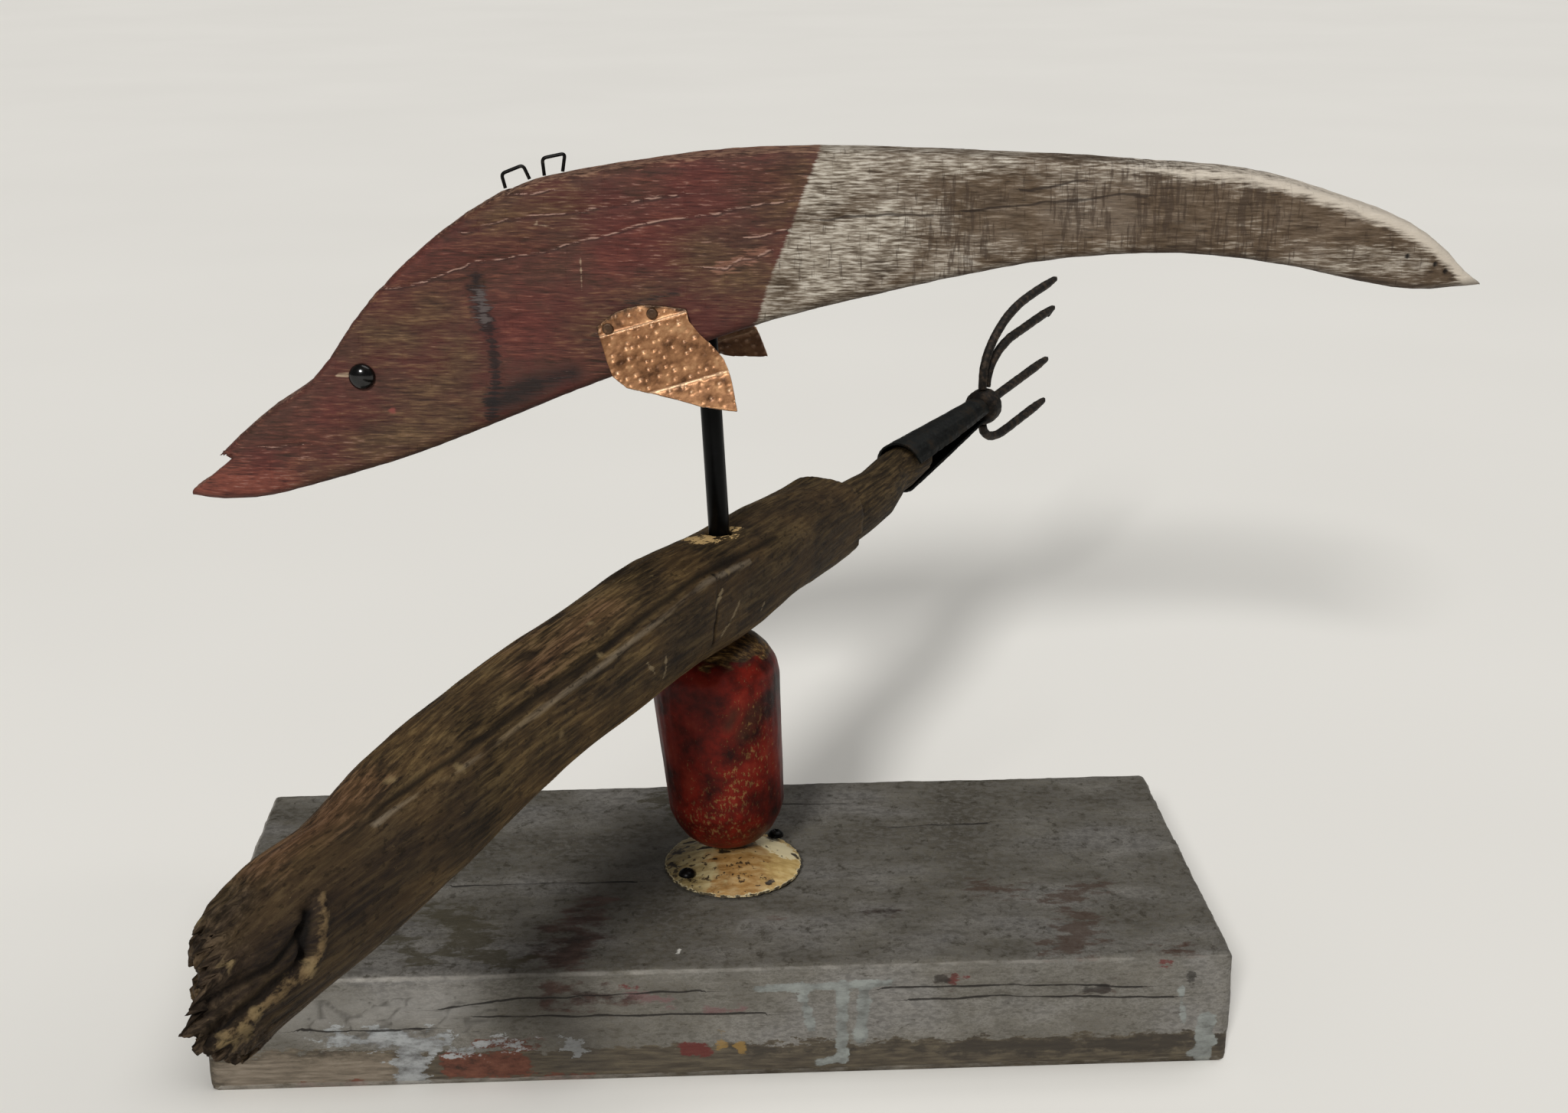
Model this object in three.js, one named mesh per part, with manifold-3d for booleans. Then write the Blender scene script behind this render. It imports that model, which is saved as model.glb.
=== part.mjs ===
// Fish decoy carved from a board, held on a steel rod by a piece of driftwood on a plank.
// Millimetres, +Z up, origin at the centre of the plank's underside, +X towards the fish's tail.

import * as THREE from 'three';
import { mergeVertices } from 'three/addons/utils/BufferGeometryUtils.js';
import Module from 'manifold-3d';

const wasm = await Module();
wasm.setup();

// Fits shared by all pieces
const TOUCH_GAP = 0.3;
const BORE_CLEARANCE = 0.3;

// Plank
const PLANK_LENGTH = 319;
const PLANK_WIDTH = 140;
const PLANK_THICKNESS = 38;
const PLANK_EDGE_ROUND = 1.2;
const PLANK_CORNER_ROUND = 2.4;

// Disc and its screws
const DISC_ACROSS = 46.8;
const DISC_DEEP = 51;
const DISC_RIM = 1.2;
const DISC_CROWN = 6.6;
const DISC_CROWN_FLAT = 0.2;
const DISC_DOME_CURVE = 1.2;
const DISC_X = 5.3;
const DISC_Y = 1.3;
const SCREW_HEAD_RADIUS = 2.8;
const SCREW_HEAD_HEIGHT = 2.2;
const SCREW_INSET = 3.4;
const SCREW_TURNS = { disc_screw_left: 219, disc_screw_right: 41 };

// Float
const FLOAT_TOP_RADIUS = 21.6;
const FLOAT_LOW_RADIUS = 20.2;
const FLOAT_FOOT_RADIUS = 3.5;
const FLOAT_HEIGHT = 78;
const FLOAT_CROWN_HEIGHT = 18;
const FLOAT_FOOT_HEIGHT = 21;
const FLOAT_LEAN_DEG = 4.3;
const FLOAT_SHIFT_X = -0.5;
const FLOAT_SHIFT_Y = 3;

// Driftwood: its profile runs from the broken end to the tenon, as shares of its length:
// place along, rise of the middle, half its thickness
const BOUGH_LENGTH = 456;
const BOUGH_TURN_DEG = 63.8;
const BOUGH_SEAT_DEPTH = 1.4;
const BOUGH_SHIFT_X = -2.8;
const BOUGH_SHIFT_Y = 1.5;
const BOUGH_ROD_SHARE = 0.6;
const BOUGH_PROFILE = [
  [0, -0.0325, 0.0318],
  [0.08, -0.0205, 0.0356],
  [0.125, -0.0188, 0.0354],
  [0.19, -0.0105, 0.0382],
  [0.24, -0.0048, 0.038],
  [0.36, 0.0042, 0.0373],
  [0.44, 0.0052, 0.0376],
  [0.56, 0.0012, 0.0385],
  [0.62, -0.0012, 0.0372],
  [0.69, -0.003, 0.0348],
  [0.765, -0.0076, 0.034],
  [0.795, -0.0082, 0.0338],
  [0.803, -0.011, 0.0312],
  [0.808, -0.0162, 0.026],
  [0.814, -0.0172, 0.025],
  [0.85, -0.0178, 0.024],
  [0.9, -0.0188, 0.0222],
];
const BOUGH_SQUARENESS = 3;
const TENON_SQUARENESS = 2.2;
const SHOULDER_SHARE = 0.8;
const BOUGH_WANDER = 0.025;
const BOUGH_RIPPLE = 0.015;

// The broken end, round the driftwood from its far side over the top: how far it is torn back
const BOUGH_BREAK = [
  [0, 15],
  [45, 15],
  [69, 6],
  [93, 1],
  [109, -5],
  [133, -16],
  [157, -20],
  [181, -14],
  [205, -9],
  [221, 2],
  [245, 2],
  [300, 12],
  [360, 15],
];
const BOUGH_BREAK_REACH = 0.12;
const BOUGH_KNOT_SHARE = 0.062;
const BOUGH_CLEFT_DEG = 152;
const BOUGH_CLEFT_WIDTH_DEG = 16;
const BOUGH_CLEFT_DEPTH = 0.28;
const BOUGH_CLEFT_RUN_IN = 0.02;
const BOUGH_RING_STEPS = 28;
const BOUGH_RING_SIDES = 20;

// Spear
const SOCKET_LENGTH = 68;
const SOCKET_MOUTH_RADIUS = 10.4;
const SOCKET_NECK_RADIUS = 5.6;
const SOCKET_WALL = 1.2;
const SOCKET_SLOT_DEG = 80;
const SOCKET_SLOT_CLOSING = 0.45;
const SOCKET_SLOT_FACING_DEG = -22;
const SPEAR_TURN_DEG = -7.8;
const SPEAR_RISE_DEG = 6.8;
const SPEAR_DROP = 5.6;
const TENON_CLEARANCE = 0.5;
const TENON_DEPTH = 17;
const TENON_RINGS = [-0.45, 0, 0.3, 0.6, 0.9];
const COLLAR_RADIUS = 7;
const COLLAR_LENGTH = 10;
const COLLAR_EDGE_ROUND = 3;
const TINE_RADIUS = 1.55;
const TINE_TIP_RADIUS = 0.9;
const TINE_SEAT = 0.4;
const TINE_TIP_LENGTH = 9;
const BARB_LENGTH = 5;
const BARB_TURN_DEG = -32;

// Tines: height over the spear's axis, reach past the collar's middle, then the bend: where its
// root stands, how far it runs forward and how much it climbs
const TINES = [
  { height: 33.7, reach: 72.5, root: -0.5, run: 45, climb: 25 },
  { height: 21.4, reach: 69.8, root: 3.4, run: 26, climb: 14.5, barbed: true },
  { height: 0.5, reach: 62 },
  { height: -17.3, reach: 58.2, root: -1.4, run: 19, climb: 9.5 },
];

// Rod
const ROD_RADIUS = 3.4;
const ROD_SHIFT_X = 0.5;
const ROD_LEAN_DEG = -2.8;
const ROD_IN_BOUGH = 16;
const ROD_IN_FISH = 20;
const ROD_FREE_LENGTH = 62.8;

// Fish: outlines as shares of its length, from the tip of the lower jaw
const FISH_LENGTH = 402.5;
const FISH_THICKNESS = 19;
const FISH_EDGE_ROUND = 4.2;
const FISH_TURN_DEG = -6;
const FISH_ROD_SHARE = 0.4132;
const FISH_BACK = [
  [0, 0.0035],
  [0.028, 0.036],
  [0.064, 0.068],
  [0.1, 0.092],
  [0.12, 0.115],
  [0.148, 0.154],
  [0.193, 0.198],
  [0.244, 0.234],
  [0.282, 0.25],
  [0.359, 0.264],
  [0.44, 0.274],
  [0.523, 0.276],
  [0.646, 0.272],
  [0.768, 0.265],
  [0.832, 0.258],
  [0.892, 0.241],
  [0.945, 0.221],
  [0.971, 0.203],
  [0.993, 0.18],
  [1, 0.1755],
];
const FISH_BELLY = [
  [0, -0.001],
  [0.012, -0.0035],
  [0.029, -0.004],
  [0.063, -0.001],
  [0.127, 0.017],
  [0.186, 0.036],
  [0.249, 0.061],
  [0.31, 0.087],
  [0.451, 0.14],
  [0.566, 0.17],
  [0.634, 0.185],
  [0.687, 0.194],
  [0.768, 0.198],
  [0.848, 0.19],
  [0.93, 0.173],
  [0.962, 0.171],
  [0.99, 0.1735],
  [1, 0.1745],
];
const FISH_HALF_THICKNESS = [
  [0, 0.55],
  [0.016, 0.84],
  [0.05, 0.98],
  [0.09, 1],
  [0.86, 1],
  [0.95, 0.86],
  [0.985, 0.55],
  [1, 0.2],
];
const MOUTH = [
  [-0.012, -0.002],
  [0.008, 0.0085],
  [0.022, 0.0195],
  [0.036, 0.0315],
  [0.0435, 0.0345],
  [0.042, 0.0375],
  [0.0185, 0.0298],
  [-0.012, 0.045],
];
const FISH_STATIONS = 44;
const FISH_END_CROWDING = 0.07;

// Eye tacks
const TACK_RADIUS = 4.2;
const TACK_HEIGHT = 2.6;
const EYE_PLACE = [0.1459, 0.1004];

// Fins: a folded sheet; its outline runs along the upper fold and down from it
const FIN_SHEET = 0.8;
const FIN_FOLD_START = [0.333, 0.1335];
const FIN_FOLD_RISE_DEG = 16.6;
const FIN_LOW_FOLD = 25.8;
const FIN_LOW_FOLD_DEG = -9;
const FIN_FLANGE = [
  [0, 3.2],
  [0.25, 6],
  [0.55, 5.8],
  [0.8, 3.4],
  [1, 0.9],
];
const FIN_FRONT = [
  [0, 0],
  [5.8, 0.8],
  [16.3, 2.4],
  [22.1, 7],
  [25.8, 13.4],
  [30.4, 21.4],
  [34.9, 28.4],
  [39, 37.4],
];
const FIN_REAR = [
  [0, 28.4],
  [4.4, 28.6],
  [11.4, 32],
  [18.5, 36.2],
  [25.8, 38],
  [39, 37.9],
];
const FINS = {
  fin_near: { side: -1, splayDeg: 46, shift: 0 },
  fin_far: { side: 1, splayDeg: 44, shift: 4.6 },
};
const FIN_NAIL_RADIUS = 1.8;
const FIN_NAIL_HEIGHT = 0.9;
const FIN_NAILS = [
  [3.4, 1.9],
  [18, 2.6],
];

// Wire loops on the back: the place of the front foot, the span to the other one, and the loop's
// two corners from the front foot
const WIRE_RADIUS = 0.6;
const LINE_LOOPS = {
  line_loop_front: { place: 0.2606, span: 7.6, corners: [[-1.1, 4.2], [5.7, 6.9]] },
  line_loop_rear: { place: 0.291, span: 5.7, corners: [[-0.5, 5.1], [6.6, 6.6]] },
};
const WIRE_BEND = 0.9;

const deg = THREE.MathUtils.degToRad;

// Smooth value of a profile [[place, value, value ...], ...] at one place
function profileAt(points, place, column = 1) {
  const next = points.findIndex((point) => point[0] > place);
  if (next === -1) return points.at(-1)[column];
  if (next === 0) return points[0][column];
  const slope = (index) => {
    const before = points[Math.max(index - 1, 0)];
    const after = points[Math.min(index + 1, points.length - 1)];
    return (after[column] - before[column]) / (after[0] - before[0]);
  };
  const [start, end] = [points[next - 1], points[next]];
  const span = end[0] - start[0];
  const t = (place - start[0]) / span;
  const ease = t * t * (3 - 2 * t);
  const leave = (t * t * t - 2 * t * t + t) * span * slope(next - 1);
  const arrive = (t * t * t - t * t) * span * slope(next);
  return start[column] * (1 - ease) + end[column] * ease + leave + arrive;
}

// Closed skin over a row of rings of equal count, each turning the same way about the row
function loft(rings) {
  const count = rings[0].length;
  const points = rings.flat();
  const faces = [];
  for (let ring = 0; ring + 1 < rings.length; ring += 1) {
    for (let side = 0; side < count; side += 1) {
      const a = ring * count + side;
      const b = ring * count + ((side + 1) % count);
      faces.push(a, b, b + count, a, b + count, a + count);
    }
  }
  const cap = (offset, ring, flip) => {
    const outline = ring.map((point) => point.clone());
    const middle = outline.reduce((sum, point) => sum.add(point), new THREE.Vector3());
    points.push(middle.divideScalar(count));
    for (let side = 0; side < count; side += 1) {
      const pair = [offset + side, offset + ((side + 1) % count)];
      if (flip) pair.reverse();
      faces.push(points.length - 1, ...pair);
    }
  };
  cap(0, rings[0], true);
  cap((rings.length - 1) * count, rings.at(-1), false);
  const geometry = new THREE.BufferGeometry().setFromPoints(points);
  geometry.setIndex(faces);
  return facedOut(geometry);
}

// Turns a closed skin right side out
function facedOut(geometry) {
  const position = geometry.getAttribute('position');
  const index = geometry.getIndex().array;
  const corner = (order) => new THREE.Vector3().fromBufferAttribute(position, index[order]);
  let volume = 0;
  for (let face = 0; face < index.length; face += 3) {
    volume += corner(face).dot(corner(face + 1).cross(corner(face + 2)));
  }
  if (volume < 0) {
    for (let face = 0; face < index.length; face += 3) {
      [index[face + 1], index[face + 2]] = [index[face + 2], index[face + 1]];
    }
  }
  geometry.computeVertexNormals();
  return geometry;
}

// Round bar along a curve, its radius given by the share of the way
function bar(curve, steps, sides, radiusAt) {
  const frames = curve.computeFrenetFrames(steps, false);
  const rings = [];
  for (let step = 0; step <= steps; step += 1) {
    const share = step / steps;
    const centre = curve.getPointAt(share);
    const radius = radiusAt(share);
    const ring = [];
    for (let side = 0; side < sides; side += 1) {
      const angle = (side / sides) * 2 * Math.PI;
      ring.push(centre.clone()
        .addScaledVector(frames.normals[step], Math.cos(angle) * radius)
        .addScaledVector(frames.binormals[step], Math.sin(angle) * radius));
    }
    rings.push(ring);
  }
  return loft(rings);
}

function toManifold(geometry) {
  const bare = geometry.clone();
  bare.deleteAttribute('normal');
  bare.deleteAttribute('uv');
  const merged = mergeVertices(bare, 1e-4);
  return new wasm.Manifold(new wasm.Mesh({
    numProp: 3,
    vertProperties: new Float32Array(merged.getAttribute('position').array),
    triVerts: new Uint32Array(merged.getIndex().array),
  }));
}

function fromManifold(solid) {
  const mesh = solid.getMesh();
  const geometry = new THREE.BufferGeometry();
  geometry.setAttribute('position', new THREE.BufferAttribute(mesh.vertProperties, 3));
  geometry.setIndex(new THREE.BufferAttribute(mesh.triVerts, 1));
  geometry.computeVertexNormals();
  return geometry;
}

function cut(geometry, ...tools) {
  const whole = toManifold(geometry);
  return fromManifold(tools.reduce((solid, tool) => solid.subtract(toManifold(tool)), whole));
}

// The same shape seen from another group's frame
function carried(geometry, from, to) {
  from.updateWorldMatrix(true, false);
  to.updateWorldMatrix(true, false);
  const change = to.matrixWorld.clone().invert().multiply(from.matrixWorld);
  return geometry.clone().applyMatrix4(change);
}

function group(parent, place, turn = {}) {
  const node = new THREE.Group();
  node.position.set(...place);
  node.rotation.set(turn.x ?? 0, turn.y ?? 0, turn.z ?? 0, 'ZYX');
  parent.add(node);
  return node;
}

function piece(parent, name, geometry, color, roughness, metalness = 0) {
  const material = new THREE.MeshStandardMaterial({ color, roughness, metalness });
  const mesh = new THREE.Mesh(geometry, material);
  mesh.name = name;
  parent.add(mesh);
  return mesh;
}

// Low dome standing on z = 0
function domeHead(radius, height, steps = 4, sides = 16) {
  const outline = [new THREE.Vector2(0, 0)];
  for (let step = 0; step <= steps; step += 1) {
    const angle = (step / steps) * Math.PI / 2;
    outline.push(new THREE.Vector2(radius * Math.cos(angle), height * Math.sin(angle)));
  }
  outline.at(-1).x = 0;
  return new THREE.LatheGeometry(outline, sides).rotateX(Math.PI / 2);
}

const decoy = new THREE.Group();

// Plank
function plankShape() {
  const [x, y] = [PLANK_LENGTH / 2 - PLANK_EDGE_ROUND, PLANK_WIDTH / 2 - PLANK_EDGE_ROUND];
  const round = PLANK_CORNER_ROUND;
  const shape = new THREE.Shape();
  shape.moveTo(-x + round, -y);
  shape.lineTo(x - round, -y);
  shape.quadraticCurveTo(x, -y, x, -y + round);
  shape.lineTo(x, y - round);
  shape.quadraticCurveTo(x, y, x - round, y);
  shape.lineTo(-x + round, y);
  shape.quadraticCurveTo(-x, y, -x, y - round);
  shape.lineTo(-x, -y + round);
  shape.quadraticCurveTo(-x, -y, -x + round, -y);
  return shape;
}

const plank = new THREE.ExtrudeGeometry(plankShape(), {
  depth: PLANK_THICKNESS - 2 * PLANK_EDGE_ROUND,
  bevelThickness: PLANK_EDGE_ROUND,
  bevelSize: PLANK_EDGE_ROUND,
  bevelSegments: 3,
  curveSegments: 5,
}).translate(0, 0, PLANK_EDGE_ROUND);
piece(decoy, 'base_board', plank, 0x74726d, 0.7);

// Disc
const discGroup = group(decoy, [DISC_X, DISC_Y, PLANK_THICKNESS + TOUCH_GAP]);
function discHeight(share) {
  const fall = Math.max(0, share - DISC_CROWN_FLAT) / (1 - DISC_CROWN_FLAT);
  return DISC_CROWN - (DISC_CROWN - DISC_RIM) * fall ** DISC_DOME_CURVE;
}

const discOutline = [new THREE.Vector2(0, 0), new THREE.Vector2(0.5, 0)];
for (const share of [1, 0.8, 0.6, 0.4, DISC_CROWN_FLAT, 0]) {
  discOutline.push(new THREE.Vector2(share / 2, discHeight(share)));
}
const disc = new THREE.LatheGeometry(discOutline, 36)
  .rotateX(Math.PI / 2)
  .scale(DISC_ACROSS, DISC_DEEP, 1);
piece(discGroup, 'foot_disc', disc, 0xd2bf92, 0.6);
for (const [name, turn] of Object.entries(SCREW_TURNS)) {
  const screw = group(discGroup, [
    (DISC_ACROSS / 2 - SCREW_INSET) * Math.cos(deg(turn)),
    (DISC_DEEP / 2 - SCREW_INSET) * Math.sin(deg(turn)),
    discHeight(1 - 2 * (SCREW_INSET + SCREW_HEAD_RADIUS) / DISC_ACROSS) + TOUCH_GAP,
  ]);
  piece(screw, name, domeHead(SCREW_HEAD_RADIUS, SCREW_HEAD_HEIGHT), 0x15130f, 0.35, 0.8);
}

// Float: straight taper with a rounded foot and crown
function floatRadius(height) {
  const taper = THREE.MathUtils.mapLinear(
    height, FLOAT_FOOT_HEIGHT, FLOAT_HEIGHT - FLOAT_CROWN_HEIGHT, FLOAT_LOW_RADIUS, FLOAT_TOP_RADIUS,
  );
  if (height < FLOAT_FOOT_HEIGHT) {
    const share = 1 - height / FLOAT_FOOT_HEIGHT;
    const swell = (FLOAT_LOW_RADIUS - FLOAT_FOOT_RADIUS) * Math.sqrt(1 - share * share);
    return FLOAT_FOOT_RADIUS + swell;
  }
  const over = Math.max(0, height - FLOAT_HEIGHT + FLOAT_CROWN_HEIGHT) / FLOAT_CROWN_HEIGHT;
  return Math.min(taper, FLOAT_TOP_RADIUS) * Math.sqrt(Math.max(0, 1 - over * over));
}

function floatGeometry() {
  const outline = [new THREE.Vector2(0, 0)];
  const stops = 6;
  for (let step = 0; step < stops; step += 1) {
    const height = FLOAT_FOOT_HEIGHT * (1 - Math.cos((step / stops) * Math.PI / 2));
    outline.push(new THREE.Vector2(floatRadius(height), height));
  }
  for (let step = 0; step <= stops; step += 1) {
    const rise = FLOAT_CROWN_HEIGHT * Math.sin((step / stops) * Math.PI / 2);
    const height = FLOAT_HEIGHT - FLOAT_CROWN_HEIGHT + rise;
    outline.push(new THREE.Vector2(floatRadius(height), height));
  }
  outline.at(-1).x = 0;
  return new THREE.LatheGeometry(outline, 32).rotateX(Math.PI / 2);
}

const floatLean = deg(FLOAT_LEAN_DEG);
const floatBase = PLANK_THICKNESS + DISC_CROWN + 2 * TOUCH_GAP
  + FLOAT_FOOT_RADIUS * Math.sin(floatLean);
const floatGroup = group(
  decoy, [DISC_X + FLOAT_SHIFT_X, DISC_Y + FLOAT_SHIFT_Y, floatBase], { y: -floatLean },
);

// Driftwood
const boughScale = (share) => share * BOUGH_LENGTH;
const socketInner = (depth) => THREE.MathUtils.mapLinear(
  depth, 0, SOCKET_LENGTH, SOCKET_MOUTH_RADIUS, SOCKET_NECK_RADIUS,
) - SOCKET_WALL;

const boughFromRod = (share) => boughScale(share - BOUGH_ROD_SHARE);
const mouthX = boughScale(1 - BOUGH_ROD_SHARE) - TENON_DEPTH;
const boughHalfAtRod = boughScale(profileAt(BOUGH_PROFILE, BOUGH_ROD_SHARE, 2));
const boughAxisHeight = floatBase + FLOAT_HEIGHT * Math.cos(floatLean) + boughHalfAtRod
  - BOUGH_SEAT_DEPTH;
const boughGroup = group(decoy, [
  DISC_X + BOUGH_SHIFT_X,
  DISC_Y + BOUGH_SHIFT_Y,
  boughAxisHeight,
], { z: deg(BOUGH_TURN_DEG) });

// Half thickness of the driftwood at one place along and round it
function boughHalf(share, angle) {
  const half = boughScale(profileAt(BOUGH_PROFILE, share, 2));
  const squareness = share < SHOULDER_SHARE ? BOUGH_SQUARENESS : TENON_SQUARENESS;
  const [c, s] = [Math.abs(Math.cos(angle)), Math.abs(Math.sin(angle))];
  const square = (c ** squareness + s ** squareness) ** (-1 / squareness);
  const wander = BOUGH_WANDER * Math.sin(angle + 26 * share)
    + BOUGH_RIPPLE * Math.sin(3 * angle - 40 * share);
  const nearKnot = THREE.MathUtils.smoothstep(BOUGH_KNOT_SHARE - share, 0, BOUGH_CLEFT_RUN_IN);
  const offCleft = (angle - deg(BOUGH_CLEFT_DEG)) / deg(BOUGH_CLEFT_WIDTH_DEG);
  const cleft = BOUGH_CLEFT_DEPTH * nearKnot * Math.exp(-offCleft * offCleft);
  return half * square * (1 + wander) * (1 - cleft);
}

function boughRing(share) {
  const fade = Math.max(0, 1 - share / BOUGH_BREAK_REACH);
  const ring = [];
  for (let side = 0; side < BOUGH_RING_SIDES; side += 1) {
    const angle = (side / BOUGH_RING_SIDES) * 2 * Math.PI;
    const half = boughHalf(share, angle);
    ring.push(new THREE.Vector3(
      boughFromRod(share) + profileAt(BOUGH_BREAK, THREE.MathUtils.radToDeg(angle)) * fade * fade,
      half * Math.cos(angle),
      boughScale(profileAt(BOUGH_PROFILE, share, 1)) + half * Math.sin(angle),
    ));
  }
  return ring;
}

const spearGroup = group(boughGroup, [mouthX, 0, -SPEAR_DROP], {
  y: deg(-SPEAR_RISE_DEG),
  z: deg(SPEAR_TURN_DEG),
});

// Round rings inside the socket, in the driftwood's own frame
function tenonRing(depth) {
  const radius = socketInner(Math.max(depth, 0)) - TENON_CLEARANCE;
  const ring = [];
  for (let side = 0; side < BOUGH_RING_SIDES; side += 1) {
    const angle = (side / BOUGH_RING_SIDES) * 2 * Math.PI;
    ring.push(new THREE.Vector3(depth, radius * Math.cos(angle), radius * Math.sin(angle)));
  }
  spearGroup.updateMatrix();
  return ring.map((point) => point.applyMatrix4(spearGroup.matrix));
}

function boughGeometry() {
  const shares = BOUGH_PROFILE.map((row) => row[0]);
  const last = shares.at(-1);
  for (let step = 0; step <= BOUGH_RING_STEPS; step += 1) {
    const share = (step / BOUGH_RING_STEPS) * last;
    if (shares.every((other) => Math.abs(other - share) > 0.4 * last / BOUGH_RING_STEPS)) {
      shares.push(share);
    }
  }
  const rings = shares.sort((a, b) => a - b).map(boughRing);
  for (const share of TENON_RINGS) rings.push(tenonRing(share * TENON_DEPTH));
  return loft(rings);
}

// Rod, leaning a little, from inside the driftwood to inside the fish
const boughTop = boughScale(profileAt(BOUGH_PROFILE, BOUGH_ROD_SHARE, 1)) + boughHalfAtRod;
const rodGroup = group(decoy, [
  boughGroup.position.x + ROD_SHIFT_X,
  boughGroup.position.y,
  boughAxisHeight + boughTop - ROD_IN_BOUGH,
], { y: deg(ROD_LEAN_DEG) });
const rodLength = ROD_IN_BOUGH + ROD_FREE_LENGTH + ROD_IN_FISH;

function upright(radius, low, high, sides) {
  return new THREE.CylinderGeometry(radius, radius, high - low, sides)
    .rotateX(Math.PI / 2)
    .translate(0, 0, (low + high) / 2);
}

const rodSides = 24;
piece(rodGroup, 'rod', upright(ROD_RADIUS, 0, rodLength, rodSides), 0x0d0d0e, 0.3, 0.7);
const rodBore = upright(
  ROD_RADIUS + BORE_CLEARANCE, -TOUCH_GAP, rodLength + TOUCH_GAP, rodSides,
);

const boughSolid = boughGeometry();
piece(boughGroup, 'bough', cut(boughSolid, carried(rodBore, rodGroup, boughGroup)), 0x4c4034, 0.85);

// The float is hollowed to the driftwood's underside
const saddle = boughSolid.clone().translate(0, 0, -TOUCH_GAP);
piece(floatGroup, 'float', cut(floatGeometry(), carried(saddle, boughGroup, floatGroup)), 0x74201f, 0.55);

// Spear: a rolled sheet open along its seam
function socketRing(depth) {
  const outer = THREE.MathUtils.mapLinear(
    depth, 0, SOCKET_LENGTH, SOCKET_MOUTH_RADIUS, SOCKET_NECK_RADIUS,
  );
  const inner = outer - SOCKET_WALL;
  const slot = deg(SOCKET_SLOT_DEG) * (1 - SOCKET_SLOT_CLOSING * depth / SOCKET_LENGTH);
  const start = deg(180 - SOCKET_SLOT_FACING_DEG) + slot / 2;
  const sweep = 2 * Math.PI - slot;
  const steps = 22;
  const ring = [];
  for (let step = 0; step <= steps; step += 1) {
    const angle = start + sweep * (step / steps);
    ring.push(new THREE.Vector3(depth, outer * Math.cos(angle), outer * Math.sin(angle)));
  }
  for (let step = steps; step >= 0; step -= 1) {
    const angle = start + sweep * (step / steps);
    ring.push(new THREE.Vector3(depth, inner * Math.cos(angle), inner * Math.sin(angle)));
  }
  return ring;
}

// Closed skin of a band whose ends are C-shaped strips
function rolledSheet(rings) {
  const count = rings[0].length;
  const half = count / 2;
  const points = rings.flat();
  const faces = [];
  for (let ring = 0; ring + 1 < rings.length; ring += 1) {
    for (let side = 0; side < count; side += 1) {
      const a = ring * count + side;
      const b = ring * count + ((side + 1) % count);
      faces.push(a, b, b + count, a, b + count, a + count);
    }
  }
  const strip = (offset, flip) => {
    for (let side = 0; side + 1 < half; side += 1) {
      const quad = [side, side + 1, count - 2 - side, count - 1 - side].map((i) => i + offset);
      if (flip) quad.reverse();
      faces.push(quad[0], quad[1], quad[2], quad[0], quad[2], quad[3]);
    }
  };
  strip(0, true);
  strip((rings.length - 1) * count, false);
  const geometry = new THREE.BufferGeometry().setFromPoints(points);
  geometry.setIndex(faces);
  return facedOut(geometry);
}

const socketRings = [0, 0.25, 0.5, 0.75, 1].map((share) => socketRing(share * SOCKET_LENGTH));
piece(spearGroup, 'spear_socket', rolledSheet(socketRings), 0x2c2e2f, 0.5, 0.8);

function collarGeometry() {
  const round = COLLAR_EDGE_ROUND;
  const outline = [new THREE.Vector2(0, 0)];
  for (let step = 0; step <= 3; step += 1) {
    const angle = (step / 3) * Math.PI / 2;
    outline.push(new THREE.Vector2(
      COLLAR_RADIUS - round + round * Math.sin(angle), round - round * Math.cos(angle),
    ));
  }
  for (let step = 0; step <= 3; step += 1) {
    const angle = (step / 3) * Math.PI / 2;
    outline.push(new THREE.Vector2(
      COLLAR_RADIUS - round + round * Math.cos(angle), COLLAR_LENGTH - round + round * Math.sin(angle),
    ));
  }
  outline.push(new THREE.Vector2(0, COLLAR_LENGTH));
  return new THREE.LatheGeometry(outline, 20).rotateZ(-Math.PI / 2);
}

const collarStart = SOCKET_LENGTH + TOUCH_GAP;
const collarGroup = group(spearGroup, [collarStart, 0, 0]);
piece(collarGroup, 'spear_collar', collarGeometry(), 0x211e1b, 0.6, 0.7);

// A tine leaves the collar's side, or its front where it has no bend, and runs forward
function tineCurve({ height, reach, root, run, climb }) {
  const middle = COLLAR_LENGTH / 2;
  const tip = new THREE.Vector3(middle + reach, 0, height);
  if (root === undefined) {
    return new THREE.LineCurve3(new THREE.Vector3(COLLAR_LENGTH + TOUCH_GAP, 0, height), tip);
  }
  const up = Math.sign(height);
  const foot = up * (COLLAR_RADIUS + TOUCH_GAP + TINE_SEAT);
  const points = [new THREE.Vector3(middle + root, 0, foot)];
  for (const turn of [20, 40, 60, 80, 90]) {
    points.push(new THREE.Vector3(
      middle + root + run * (1 - Math.cos(deg(turn))), 0, height - up * climb * (1 - Math.sin(deg(turn))),
    ));
  }
  return new THREE.CatmullRomCurve3([...points, tip], false, 'centripetal');
}

function tineGeometry(spec) {
  const curve = tineCurve(spec);
  const length = curve.getLength();
  const geometry = bar(curve, spec.root === undefined ? 8 : 20, 8, (share) => {
    const left = (1 - share) * length;
    const taper = Math.min(1, left / TINE_TIP_LENGTH);
    return TINE_TIP_RADIUS + (TINE_RADIUS - TINE_TIP_RADIUS) * taper;
  });
  if (!spec.barbed) return geometry;
  const tip = curve.getPointAt(1);
  const barb = new THREE.ConeGeometry(TINE_TIP_RADIUS, BARB_LENGTH, 8)
    .rotateZ(Math.PI / 2)
    .rotateY(deg(BARB_TURN_DEG))
    .translate(tip.x - BARB_LENGTH * 0.75, 0, tip.z - TINE_TIP_RADIUS * 1.6);
  return fromManifold(toManifold(geometry).add(toManifold(barb)));
}

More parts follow.
